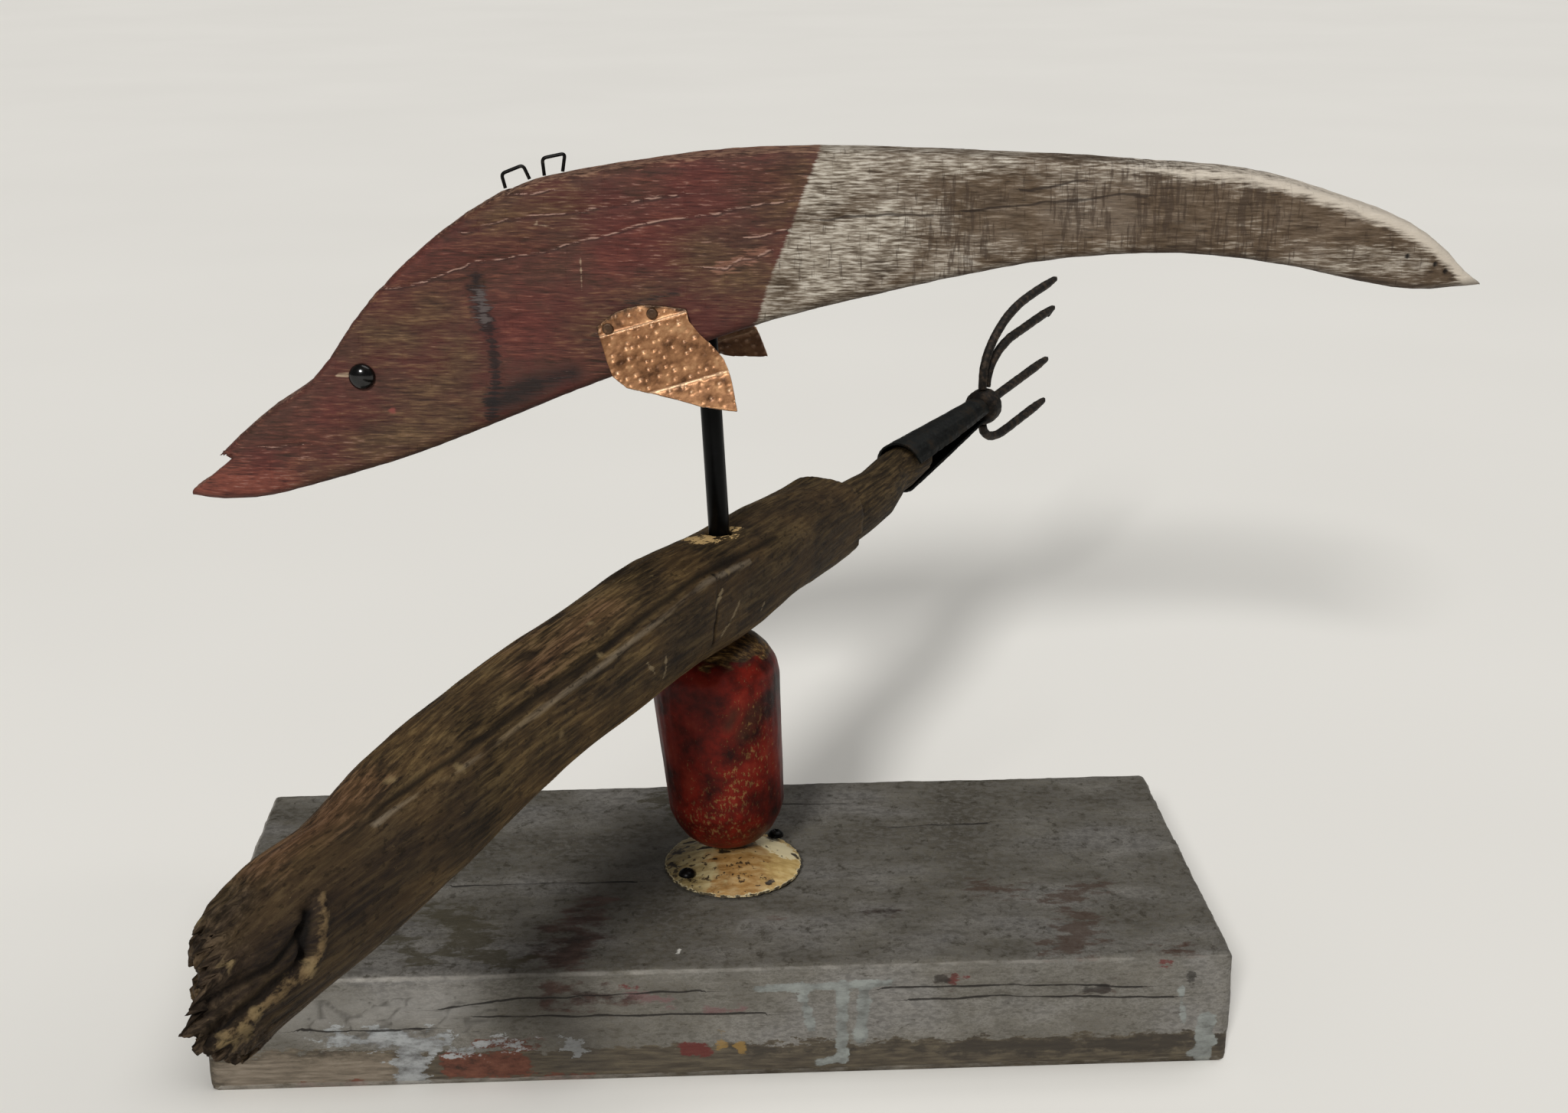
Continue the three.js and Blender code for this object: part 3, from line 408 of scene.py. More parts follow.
# Each coat, stain or painted shadow: its tone, how ragged its edge is, how soft it is, both in mm, and how
# much it covers
COATS = {
    # Pale chalk on the left of the front, partly painted light:
    "chalk_and_painted_light": ("8b8882", 12, 8, 0.5),
    "bare": ((grain, {0.34: "3b342b", 0.5: "4b4337", 0.66: "5c5343"}), 15, 0.6, 0.95),
    "tan": ((grain, {0.34: "5f564a", 0.5: "756a5c", 0.66: "83786a"}), 22, 5, 0.9),
    "tar": ("35302a", 18, 2.0, 0.8),
    "brick": ((fray, {0.38: "332119", 0.48: "573327", 0.64: "6b4334"}), 16, 0.8, 0.95),
    "flakes": ((fray, {0.4: "565554", 0.5: "7b7c7b", 0.6: "979998"}), 32, 0.5, 0.92),
    "runs": ((fray, {0.36: "5d5e5a", 0.5: "777a76", 0.62: "888c87"}), 5, 0.5, 0.9),
    "red": ("5c2523", 14, 0.8, 0.8), "yellow": ("84693a", 12, 0.8, 0.8), "pink": ("6b4a4b", 16, 1.2, 0.6),
    # Painted shadow of the driftwood on the front, and small dark patches:
    "shade_and_dark_patches": ("3f3b36", 20, 14, 0.55),
    # Stains, and painted shadow of the driftwood on the top and over the front arris:
    "stain_and_shadow": ((mottle, {0.38: "251a16", 0.5: "412c25", 0.62: "5c4840"}), 36, 5, 0.85),
    "olive": ("423c2c", 50, 4, 0.75), "rust": ("46342a", 60, 5, 0.7), "tarred": ("2b2824", 9, 0.7, 0.75),
    "nick": ("d5d2c8", 2, 0.4, 0.9),
}
for name, (tone, ragged, soft, most) in COATS.items():
    colour = marked(tree, colour, name, tone, 0, soft, most, fray, ragged)
colour = marked(tree, colour, "crazed", "2f2b26", 0.95, 0.6, 0.6)
for order in range(len(cracks)):
    away = add(tree, "Attribute", out="Fac", attribute_name=f"crack_{order}")
    away = add(tree, "Math", {0: away}, operation="ABSOLUTE")
    away = add(tree, "Math", {0: mottle, 1: -1.4, 2: away}, operation="MULTIPLY_ADD")
    colour = laid(tree, colour, "1c1815", away, -0.25, -0.5, 0.9)
edge = add(tree, "Attribute", out="Fac", attribute_name="arris")
edge_wear = add(tree, "Math", {0: edge, 1: fray}, operation="MULTIPLY")
colour = laid(tree, colour, "a5a097", edge_wear, 0.14, 0.34, 0.8)
height = add(tree, "Mix", {0: 0.5, 2: grain, 3: mottle})
height = add(tree, "Math", {0: pitted, 1: -0.25, 2: height}, operation="MULTIPLY_ADD")
clothe(tree, shader, colour, height=height, depth=0.7)
show(plank, finish, "painted_plank", "base_board")

# Foot disc
# A pressed steel cap, shallow as a saucer, coated with cream enamel. The enamel has yellowed in streaks
# and chipped to dark rust, most of all on the left and round the rim, and two black cross-head screws
# hold it down to the plank.
DISC_HALF_ACROSS = 23.4
# A pale cream patch on the right of the dome: painted light where the lamp falls on it.
PAINTED_LIT_CREAM = [[(10, 11), (17, 3), 5.5]]
DARK_CHIPS = [
    [(-16, 13), (-13, 12), 1.3], [(-10, 8), (-8, 5), 1.2], [(-15, 8), (-13, 7), 0.9],
    [(-21, -2), (-19, -5), 1.0], [(-11, 3), (-7, 1.6), 1], [(-4.6, -2.4), (-2, -3.4), 1.2],
    [(-8, -6), (-6, -6.6), 0.9], [(20.6, 3), (22, 0.6), 0.9], [(11, -19), (13, -17.6), 1],
    [(-20, 6), (-18, 4), 0.9],
]
disc = even_skin("foot_disc", "enamelled_disc", 0.5, 2, crisp=True)
places, normals = skin_of(disc)
low, high = (np.array(corner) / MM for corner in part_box("foot_disc"))
middle = (low + high) / 2
reach = np.hypot(*(((places - middle) / ((high - low) / 2)).T[:2]))
flat = places[:, :2] - middle[:2]
chip = in_blots(flat, DARK_CHIPS)
rim = np.clip((reach - 0.88) / 0.12, 0, 1)
across = flat[:, 0] / DISC_HALF_ACROSS
mark(disc, {"rim": rim, "across": across, "painted_lit_side": in_blots(flat, PAINTED_LIT_CREAM), "chip": chip})
# Depths in mm: an uneven rim, shallow dents, and chips down to the steel
sunk = 0.3 * np.clip((reach - 0.9) / 0.1, 0, 1) * (1 + waves(places, (2.4, 2.4, 2.4), 5, 4))
sunk += 0.15 * (1 + waves(places, (9, 9, 9), 6)) + 0.25 * np.clip(chip, 0, 1)
reshape(disc, places - normals * np.maximum(sunk, 0)[:, None], "foot_disc")

# Fired enamel on steel, dulled by age: smooth and faintly glossy, with matt rusty chips that break the shine.
finish, tree, shader, spot = new_finish("chipped_cream_enamel_on_steel", 0.45, shine=0.3)
blotch = pattern(tree, spot, 9.09, 7, 0.65)
chips = pattern(tree, spot, 2.632, 5, 0.65)
# The enamel's tone wanders in blotches and runs from dark olive on the left to cream on the right: painted
# shadow of the driftwood over the left side, and painted light on the right.
across = add(tree, "Attribute", out="Fac", attribute_name="across")
shifted = add(tree, "Math", {0: blotch, 1: 1.6, 2: across}, operation="MULTIPLY_ADD")
shade = add(tree, "MapRange", {0: shifted, 1: -0.2, 2: 1.8})
cream_stops = {0.1: "716845", 0.34: "9c8f66", 0.42: "855f33", 0.55: "a67c45", 0.66: "93682f", 0.85: "c8aa68"}
colour = add(tree, "ValToRGB", {"Fac": shade}, cream_stops)
streaks = pattern(tree, spot, (6.25, 2.381, 2.381), 6, 0.65)
colour = washed(tree, colour, streaks, {0.38: "6b4c26", 0.5: "a98c5c", 0.62: "cbb78a"}, 0.4)
# Painted light: the pale cream patch on the right.
colour = marked(tree, colour, "painted_lit_side", "d8cba4", 0, 0.5, 0.85, chips, 12)
colour = marked(tree, colour, "chip", "21170e", 0, 0.5, 0.95, chips, 5)
leftward = add(tree, "Math", {0: across, 1: -0.05, 2: chips}, operation="MULTIPLY_ADD")
chipped = add(tree, "MapRange", {0: leftward, 1: 0.59, 2: 0.62, 4: 0.9})
colour = add(tree, "Mix", {0: chipped, 6: colour, 7: "2b1f14"}, data_type="RGBA")
rim = add(tree, "Attribute", out="Fac", attribute_name="rim")
broken = add(tree, "Math", {0: rim, 1: chips}, operation="MULTIPLY")
colour = laid(tree, colour, "cfc19a", broken, 0.36, 0.4, 0.9)
colour = laid(tree, colour, "2c2015", broken, 0.42, 0.46, 0.9)
clothe(tree, shader, colour, height=chipped, depth=0.4, invert=True)
show(disc, finish, "cream_enamel", "foot_disc")


def turned(outline, steps):
    """A shape turned on a lathe about +Z from its outline in mm."""
    shape = bmesh.new()
    row = [shape.verts.new((across * MM, 0, up * MM)) for across, up in outline]
    for start, end in zip(row, row[1:]):
        shape.edges.new((start, end))
    bmesh.ops.spin(
        shape, geom=shape.verts[:] + shape.edges[:], cent=(0, 0, 0), axis=(0, 0, 1), dvec=(0, 0, 0),
        angle=2 * math.pi, steps=steps, use_merge=True,
    )
    bmesh.ops.remove_doubles(shape, verts=shape.verts, dist=0.002 * MM)
    bmesh.ops.recalc_face_normals(shape, faces=shape.faces)
    return shape


def placed(shape, name, turn, place):
    """A piece from a shape, turned and set at a place in metres."""
    shape.transform(Matrix.Translation(place) @ turn.to_4x4())
    mesh = bpy.data.meshes.new(name)
    shape.to_mesh(mesh)
    shape.free()
    piece = bpy.data.objects.new(name, mesh)
    scene.collection.objects.link(piece)
    return piece


def dome(radius, height, rings):
    """The outline of a low dome standing on z = 0, from the middle of its foot round to its top."""
    turns = [math.pi / 2 * step / rings for step in range(rings + 1)]
    side = [(radius * math.cos(turn), height * math.sin(turn)) for turn in turns[:-1]]
    return [(0, 0)] + side + [(0, height)]


# Blackened steel: nearly black, with a soft sheen and a little brown where the finish has rubbed through.
finish, tree, shader, spot = new_finish("blackened_steel", 0.34, 0.8)
wear = pattern(tree, spot, 1.429, 4)
colour = add(tree, "ValToRGB", {"Fac": wear}, {0.4: "0a0909", 0.62: "171513", 0.75: "37302a"})
clothe(tree, shader, colour, rough=add(tree, "MapRange", {0: wear, 3: 0.25, 4: 0.5}))
black_steel = finish
HEAD_RADIUS = 2.78
HEAD_HEIGHT = 2.18
CROSS_LENGTH = 1.3
CROSS_WIDTH = 0.42
CROSS_DEPTH = 0.9
for node, name in (("disc_screw_left", "left_disc_screw"), ("disc_screw_right", "right_disc_screw")):
    low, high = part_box(node)
    foot = Vector(((low.x + high.x) / 2, (low.y + high.y) / 2, low.z))
    shape = turned(dome(HEAD_RADIUS, HEAD_HEIGHT, 28), 72)
    for vert in shape.verts:
        across, aside = sorted((abs(vert.co.x) / MM, abs(vert.co.y) / MM), reverse=True)
        if vert.co.z > 1.4 * MM and across < CROSS_LENGTH and aside < CROSS_WIDTH:
            vert.co.z -= CROSS_DEPTH * MM * (1 - across / CROSS_LENGTH)
    head = placed(shape, name, Matrix.Rotation(0.5, 3, "Z"), foot)
    show(head, black_steel, "black_steel", node)

# Float
# An old net float turned from one piece of wood and painted red. The paint is scuffed in specks low down
# and along its right side, and the crown is worn to bare fibrous wood where the driftwood sits in it.
FLOAT_CROWN = 115.2
SPECKLED = [[(-2, 62), (8, 74), 8], [(8, 66), (14, 100), 4], [(-10, 60), (10, 56), 5]]
SMUDGED = [[(9, 92), (13, 100), 3.4], [(4, 96), (6, 100), 2.4]]
wooden_float = even_skin("float", "turned_float", 0.65, 12)
places, normals = skin_of(wooden_float)
seen = places[:, [0, 2]]
elsewhere = 2 * waves(places, (14, 14, 18), 10)
mark(wooden_float, {
    "crown": places[:, 2] - FLOAT_CROWN + 2.6 * waves(places, (6, 6, 3), 9, 4),
    "speckled": np.where(normals[:, 1] < 0.3, in_blots(seen, SPECKLED), elsewhere),
    "smudged": np.where(normals[:, 1] < 0, in_blots(seen, SMUDGED), OUTSIDE),
})
sunk = 0.1 * (1 + waves(places, (3, 3, 14), 7)) + 0.2 * (1 + waves(places, (16, 16, 22), 8))
reshape(wooden_float, places - normals * np.maximum(sunk, 0)[:, None], "float")


def crowded(tree, fine, name, start, full, least, most):
    """A fine pattern, raised from least to most as a piece's mark goes from start to full, so that its
    specks crowd there."""
    inside = add(tree, "Attribute", out="Fac", attribute_name=name)
    likely = add(tree, "MapRange", {0: inside, 1: start, 2: full, 3: least, 4: most})
    return add(tree, "Math", {0: fine, 1: likely}, operation="ADD")


# Thin oil paint on turned wood: satin, darker in clouds where the wood drank it, and rubbed to yellow specks.
finish, tree, shader, spot = new_finish("scuffed_red_oil_paint_on_turned_wood", 0.45, shine=0.14)
clouds = pattern(tree, spot, 14.29, 6, 0.62)
cloud_stops = {0.37: "230805", 0.47: "4a1109", 0.56: "65170d", 0.66: "742618"}
colour = add(tree, "ValToRGB", {"Fac": clouds}, cloud_stops)
colour = marked(tree, colour, "smudged", "2f2015", -0.9, 2.5, 0.7, clouds, 9)
scratches = pattern(tree, spot, (1, 1, 1.667), 5, 0.65)
over = crowded(tree, scratches, "speckled", -8, 6, -0.03, 0.085)
rubbed = add(tree, "MapRange", {0: over, 1: 0.61, 2: 0.68, 4: 0.8})
colour = washed(tree, colour, clouds, {0.4: "4a3119", 0.6: "8a673d"}, rubbed)
strands = pattern(tree, spot, (4.167, 1.111, 1.429), 6, 0.7, turn=0.5)
bare_stops = {0.36: "1c130b", 0.5: "47331e", 0.6: "7d6039", 0.7: "a08353"}
colour = marked(tree, colour, "crown", (strands, bare_stops), -0.4, 0.6)
height = add(tree, "Math", {0: rubbed, 1: -0.6, 2: clouds}, operation="MULTIPLY_ADD")
clothe(tree, shader, colour, height=height)
show(wooden_float, finish, "red_float", "float")

# Driftwood
# A hewn length of hardwood, squared with a blade and left to the weather. One end is torn off at a knot
# with a deep cleft, and the other is whittled to a tenon for the spear. Fine fibres run along it between
# dark grooves.
BOUGH_LENGTH = 456
BOUGH_TURN = 63.8
BOUGH_ORIGIN = (2.5, 2.8, 139.0)
BOUGH_ROD_SHARE = 0.6
# Lines and spots on it: along from the broken end, to the far side, and up, in the driftwood's own frame
HEWN_LINE = [
    (10, -9, 3), (30, -9.5, 6.5), (68.3, -5.6, 9.1), (94.8, -11.2, 12.1), (111.6, -12.2, 13.1),
    (133, -12.6, 14), (162.3, -13.1, 14.4), (194.2, -13.4, 16.3), (232.5, -12, 16.3), (263.7, -13, 13.9),
    (290, -13, 12),
]
HEWN_RIDGE = [
    (60, -8.4, 7.2), (94.8, -13.2, 9), (133, -14.6, 11), (162.3, -15.1, 11.6), (194.2, -15.4, 13.3),
    (232.5, -14, 14), (263.7, -14.6, 11.4),
]
CROSS_CRACK = [(241, -13.6, 14.1), (236, -16.5, 7), (233, -17, 0), (233.5, -16.1, -6.6)]
KNOT_HOLLOW = [(21.6, -14.9, -8), (23.4, -14.2, -3), (26.9, -13, 0.9)]
KNOT_LIP = [(31.8, -12.6, 2), (28.6, -15, -4.3), (25.6, -15.7, -9), (22, -15.6, -11.4)]
UPPER_CLEFT = [(23, -14, -2.2), (12.9, -13, -6), (-2, -10.6, -5.5), (-14.9, -10.3, -5.7)]
LOWER_CLEFT = [(21.7, -14.9, -8.6), (15, -14, -9.5), (3.3, -13.3, -10.2), (-12.1, -12.9, -11.6)]
PALE_LIP = [(20.7, -15.4, -11.2), (12, -14.8, -12), (3.8, -14.2, -12.6), (-9.5, -14.1, -14)]
# Painted shade on the near side, where little of the lamp's light falls
SHADED_NEAR_SIDE = [
    [(-6, -12, -4), (60, -16, -2), 17], [(60, -20, -4), (86, -19, 0), 12],
    [(205, -16, 4), (272, -14, 4), 7], [(285, -8, 4), (350, -6, 2), 11],
]
WARM_TOP = [
    [(34, 6, 4), (74, 6, 12), 7], [(140, -6, 16), (190, -2, 19), 4], [(150, 6, 16), (180, 8, 17), 1],
]
SCRATCHES = [
    [(251.5, -17, 1.7), (245, -17, -2), (238.5, -16.9, -5.1)],
    [(241.7, -16.1, 9.5), (236, -17, 7), (233.6, -17.3, 5.6)], [(269.3, -16.7, -6.7), (271.7, -17, -4.6)],
    [(200, -17, 2), (198.7, -17.1, -8)], [(188, -17, 4), (192, -17, 0)],
]
PALE_SPOTS = [
    [(247.9, -14.6, 12.6), 1.1], [(219, -3.3, 19.4), 0.8], [(175.9, -5, 19.1), 1.2],
    [(91.5, -12.9, 10.2), 1.4], [(77.4, -1.7, 10.7), 1.6], [(166.4, -13.5, 14.2), 0.9],
    [(-0.4, -9.4, -0.1), 2.0], [(-2.1, -14.6, -14.7), 2.6], [(-8, -14.5, -14.4), 2.6],
    [(3, -14.6, -12.8), 2.2], [(22.3, -15.6, -11.4), 1.7], [(14.3, 8.9, -0.2), 1.8],
    [(137.3, -16.7, 1.3), 1.2],
]
ROD_CHIPS = [
    [(264.9, 5.5, 17), 3.6], [(262.5, 0.9, 17.4), 4], [(267, 1.5, 17), 3.2], [(271.6, -3.2, 16.8), 2.8],
    [(281, -1, 16), 3],
]


def own_frame(turn, origin, places):
    """The ways along and across a piece that is turned in plan by some degrees, and places along it,
    across it and up, all from its origin."""
    turn = math.radians(turn)
    along = np.array([math.cos(turn), math.sin(turn), 0])
    aside = np.array([-math.sin(turn), math.cos(turn), 0])
    off = places - np.array(origin)
    return along, aside, np.stack([off @ along, off @ aside, off[:, 2]], axis=1)


def keep_places(piece, name, places):
    """Keeps one place for each vertex, so that a pattern can follow the piece."""
    kept = piece.data.attributes.new(name, "FLOAT_VECTOR", "POINT")
    kept.data.foreach_set("vector", places.astype(np.float32).ravel())


def in_balls(spots, balls):
    """How deep in mm each spot lies inside the nearest of some balls, each a middle and a radius."""
    depths = [radius - np.linalg.norm(spots - np.array(middle), axis=1) for middle, radius in balls]
    return np.max(depths, axis=0)


driftwood = even_skin("bough", "hewn_driftwood", 0.88, 5)
places, normals = skin_of(driftwood)
bough_along, _, own = own_frame(BOUGH_TURN, BOUGH_ORIGIN, places)
own[:, 0] += BOUGH_ROD_SHARE * BOUGH_LENGTH
keep_places(driftwood, "own", own)
groove, ridge = from_line(own, HEWN_LINE), from_line(own, HEWN_RIDGE)
split, hollow = from_line(own, CROSS_CRACK), from_line(own, KNOT_HOLLOW)
cleft = np.minimum(from_line(own, UPPER_CLEFT), from_line(own, LOWER_CLEFT))
lip, pale = from_line(own, KNOT_LIP), from_line(own, PALE_LIP)
fibres = waves(own, (38, 2.2, 2.2), 11, 4)
# Depths in mm: fibres and hollows, the hewn groove and ridge, the cross crack and the knot's hollow, the
# cleft and its lip, and splinters near the broken end
sunk = 0.22 * (1 + fibres) + 0.35 * (1 + waves(own, (50, 9, 9), 12))
sunk += 0.7 * bell(groove, 1.4) - 0.5 * bell(ridge, 1.3)
sunk += 0.9 * bell(split, 0.7) + 2.4 * bell(hollow, 2.0)
sunk += 1.5 * bell(cleft, 1.5) - 0.7 * bell(lip, 1.6)
sunk += 0.7 * np.clip(1 - (own[:, 0] - 6) / 26, 0, 1) * waves(own, (24, 2.4, 2.4), 23, 4)
places = places - normals * sunk[:, None]
end_face = (normals @ bough_along < -0.3) & (own[:, 0] < 50)
finder = near_spots(own[end_face].tolist())
into = np.array([finder.find(spot)[2] if spot[0] < 60 else 60.0 for spot in own.tolist()])
bites = np.clip(2.4 * waves(own, (70, 3.4, 3.4), 13, 4) + 0.4, 0, 1)
places += bough_along * (5.5 * np.clip(1 - into / 10, 0, 1) * bites)[:, None]
mark(driftwood, {
    "groove": groove, "ridge": ridge, "torn": np.clip(1 - into / 16, 0, 1),
    "split": np.minimum(split - 0.2, np.minimum(hollow - 0.9, cleft - 0.1)),
    "lip": np.minimum(lip - 0.4, pale - 0.6), "tenon": own[:, 0] - 0.8 * BOUGH_LENGTH,
    "warm": in_blots(own, WARM_TOP), "shade_and_dark_patches": in_blots(own, SHADED_NEAR_SIDE),
    "scratch": np.min([from_line(own, line) for line in SCRATCHES], axis=0),
    "spots": in_balls(own, PALE_SPOTS), "chips": in_balls(own, ROD_CHIPS),
})
reshape(driftwood, places, "bough")

# Hewn hardwood left to the weather: matt grey-brown, with fibres that catch the light, and painted shade in a
# near-black hewn groove beside a ridge with a painted highlight.
finish, tree, shader, spot = new_finish("weathered_hewn_hardwood", 0.7, shine=0.1, own="own")
fibre = pattern(tree, spot, (14.286, 1.25, 1.25), 7, 0.62)
soft = pattern(tree, spot, (45.455, 7.692, 7.692), 5, 0.6)
clouds = pattern(tree, spot, (28.571, 16.667, 16.667), 5, 0.6)
specks = pattern(tree, spot, (3.333, 1.818, 1.818), 4, 0.65)
blend = add(tree, "Mix", {0: 0.35, 2: fibre, 3: soft})
fibre_stops = {0.42: "1f180d", 0.475: "3f321e", 0.53: "554429", 0.59: "78633f"}
colour = add(tree, "ValToRGB", {"Fac": blend}, fibre_stops)
colour = washed(tree, colour, clouds, {0.39: "261d16", 0.5: "463729", 0.6: "644d33"}, 0.35)
# Each mark: its tone, where it starts and is full, how much it covers, what frays its edge and how much
WOOD_MARKS = {
    # Painted shade on the near side:
    "shade_and_dark_patches": ("211b1a", -8, 12, 0.62, fibre, 26),
    "tenon": ((fibre, {0.38: "221a11", 0.5: "382d1e", 0.62: "5a4930"}), -6, 10, 0.8, fibre, 4),
    "warm": ((fibre, {0.36: "3a281d", 0.5: "61442f", 0.62: "82624a"}), -3, 9, 0.75, fibre, 26),
    "torn": ((specks, {0.4: "110d0b", 0.5: "2d251f", 0.6: "5c4d3d"}), 0.1, 0.9, 0.6, fibre, 1.6),
    # Painted shade in the hewn groove, and a painted highlight on the ridge below it:
    "groove": ("1a140e", 1.7, 0.3, 0.85, fibre, -1.6), "ridge": ("857866", 1.3, 0.2, 0.6, fibre, -2),
    "lip": ("7a6547", 1.2, -0.6, 0.75, specks, -9), "split": ("0c0907", 1.1, 0.1, 0.94, fibre, -3),
    "scratch": ("958467", 0.75, 0.35, 0.6, fibre, -3), "spots": ("8f7b57", -0.6, 1.3, 0.6, specks, 5),
    "chips": ("d3b179", 0.0, 0.4, 0.95, specks, 18),
}
for name, values in WOOD_MARKS.items():
    colour = marked(tree, colour, name, *values)
colour = laid(tree, colour, "84714f", specks, 0.69, 0.73, 0.5)
colour = laid(tree, colour, "17110b", specks, 0.44, 0.34, 0.6)
height = add(tree, "Mix", {0: 0.35, 2: fibre, 3: specks})
clothe(tree, shader, colour, height=height, depth=1.2, strength=0.8)
show(driftwood, finish, "driftwood", "bough")

# Rod
# A plain round steel bar, painted black, driven into holes drilled in the driftwood and in the fish's belly.
ROD_RADIUS = 3.4
ROD_LEAN = -2.8
ROD_LENGTH = 98.8
ROD_EDGE = 0.3
low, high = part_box("rod")
half = ROD_LENGTH / 2
outline = [(0, -half), (ROD_RADIUS - ROD_EDGE, -half), (ROD_RADIUS, ROD_EDGE - half)]
outline += [(ROD_RADIUS, half - ROD_EDGE), (ROD_RADIUS - ROD_EDGE, half), (0, half)]
lean = Matrix.Rotation(math.radians(ROD_LEAN), 3, "Y")
rod = placed(turned(outline, 48), "steel_rod", lean, (low + high) / 2)

# Black paint brushed on smooth bar: almost black, and even enough to hold a soft bright line along it.
finish, tree, shader, spot = new_finish("black_painted_steel", 0.24, shine=0.1)
scuffs = pattern(tree, spot, 3.846, 5)
colour = add(tree, "ValToRGB", {"Fac": scuffs}, {0.5: "030303", 0.7: "070708", 0.82: "22201d"})
clothe(tree, shader, colour, rough=add(tree, "MapRange", {0: scuffs, 3: 0.25, 4: 0.5}))
show(rod, finish, "black_steel", "rod")

# Spear
# A forged hand spear: a socket rolled from sheet iron with its seam left open, a collar, and four bent
# tines welded to it, the second filed to a barb. The socket is driven over the driftwood's tenon, and its
# edges have rusted ragged.
socket = even_skin("spear_socket", "rolled_socket", 0.4, 1, crisp=True)
places, normals = skin_of(socket)
dent = 0.12 * (1 + waves(places, (7, 7, 7), 15)) + 0.12 * np.abs(waves(places, (2, 2, 2), 24))
reshape(socket, places - normals * dent[:, None], "spear_socket")

# Forged sheet iron under its old scale: dark grey and half dull, browner where rust comes through.
finish, tree, shader, spot = new_finish("forged_iron_with_old_scale", 0.5, 0.7)
scale = pattern(tree, spot, 6.25, 7, 0.65)
colour = add(tree, "ValToRGB", {"Fac": scale}, {0.35: "0f0f0e", 0.52: "1e201e", 0.68: "352b20"})
rough = add(tree, "MapRange", {0: scale, 1: 0.3, 2: 0.7, 3: 0.38, 4: 0.7})
clothe(tree, shader, colour, rough=rough, height=scale)
show(socket, finish, "forged_iron", "spear_socket")

# Rusty forged iron: matt dark brown and grainy, with hardly any of the metal's shine left.
finish, tree, shader, spot = new_finish("rusty_forged_iron", 0.68, 0.5)
scale = pattern(tree, spot, 2.381, 6, 0.65)
colour = add(tree, "ValToRGB", {"Fac": scale}, {0.36: "0f0c0a", 0.5: "211b15", 0.62: "43362a"})
clothe(tree, shader, colour, height=scale, depth=0.4, strength=0.6)
for node, name, face in (
    ("spear_collar", "forged_collar", 0.35), ("spear_tine_1", "tine_first", 0.3),
    ("spear_tine_2", "tine_second", 0.3), ("spear_tine_3", "tine_third", 0.3),
    ("spear_tine_4", "tine_fourth", 0.3),
):
    iron = even_skin(node, name, face, 2, crisp=True)
    places, normals = skin_of(iron)
    swell = 0.34 + 0.12 * waves(places, (3, 3, 3), 16)
    reshape(iron, places + normals * swell[:, None], node)
    show(iron, finish, "rusty_iron", node)

# Fish
# Sawn from one softwood board and rounded over at its edges. The front is painted barn red, worn to
# olive-brown wood at the jaw, and the back half is whitewashed over the saw marks. The grain has opened
# in long checks.
FISH_TURN = -6.0
# The nose along the fish, the middle of the board's thickness, and the jaw's lowest point, all in the
# fish's own directions
FISH_ORIGIN = (-167.45, 2.7, 166.05)
# The lines and blots are places along from the lower jaw's tip and up from the lowest point
PAINT_LINE = [(181, 40), (182.3, 59.3), (186.4, 72.2), (192.1, 87), (197.7, 101), (201.6, 112), (203, 120)]
CHECKS = [
    [
        (60, 69.4), (66.2, 69.8), (80.6, 72.2), (94.7, 77.8), (104.2, 79.5), (116.4, 81.5), (130.9, 85.8),
        (137, 87), (143.9, 89.1), (158.2, 92.2), (170.1, 93.2), (177.8, 95.4), (194, 98.2),
    ],
    [(92.6, 87.2), (104.8, 91), (114.9, 92.9), (123.6, 93.2), (137.3, 95.4), (145.7, 97.3), (160.9, 99.9)],
    [(166.8, 77.1), (173.4, 77.3), (177.6, 80), (182.5, 80.5), (187.9, 82.1)],
    [(178.4, 86.1), (185.1, 87.3), (192, 88.9)], [(106, 99.5), (117, 99.9), (120.3, 101)],
    [(27, 18.6), (38, 20)],
]
TAIL_CHECKS = [
    [(262, 101), (266, 101.5), (274, 102.5), (281.5, 104.6)],
    [(245, 94.5), (258, 96), (269, 97.3), (287, 99.2), (300, 100)], [(202, 92), (220, 93.5), (236, 93)],
]
# Blots that only the near side has
NEAR_BLOTS = {
    "splash": [
        [(96.2, 74), (97, 66), 2.3], [(97.4, 64.7), (99.6, 57.5), 2.9], [(99.9, 57.5), (101, 45), 1.9],
        [(101, 45), (100.4, 34), 1.7], [(99.4, 34), (99, 29), 2.2], [(94.6, 70), (95.4, 69), 2],
        [(129.4, 53.4), (133.4, 55.4), 0.6], [(141, 65), (158, 69.4), 0.7],
    ],
    "heart": [[(97, 69), (98.6, 60), 1.7]],
    "smudge": [[(101, 34), (113.6, 40), 3], [(112, 40), (125, 43.5), 2]],
    "lifted": [[(171, 77), (181, 79.6), 1.8], [(180, 81), (185, 82.2), 1.2]],
    "pink": [[(67.5, 31.5), (67.9, 31.5), 1.3]],
    "nick": [
        [(51, 42.4), (54.6, 42.4), 0.7], [(115.4, 93.2), (115.6, 90.6), 0.4],
        [(114.6, 90), (120, 89.6), 0.4], [(129.2, 68), (128.6, 80), 0.3],
    ],
}
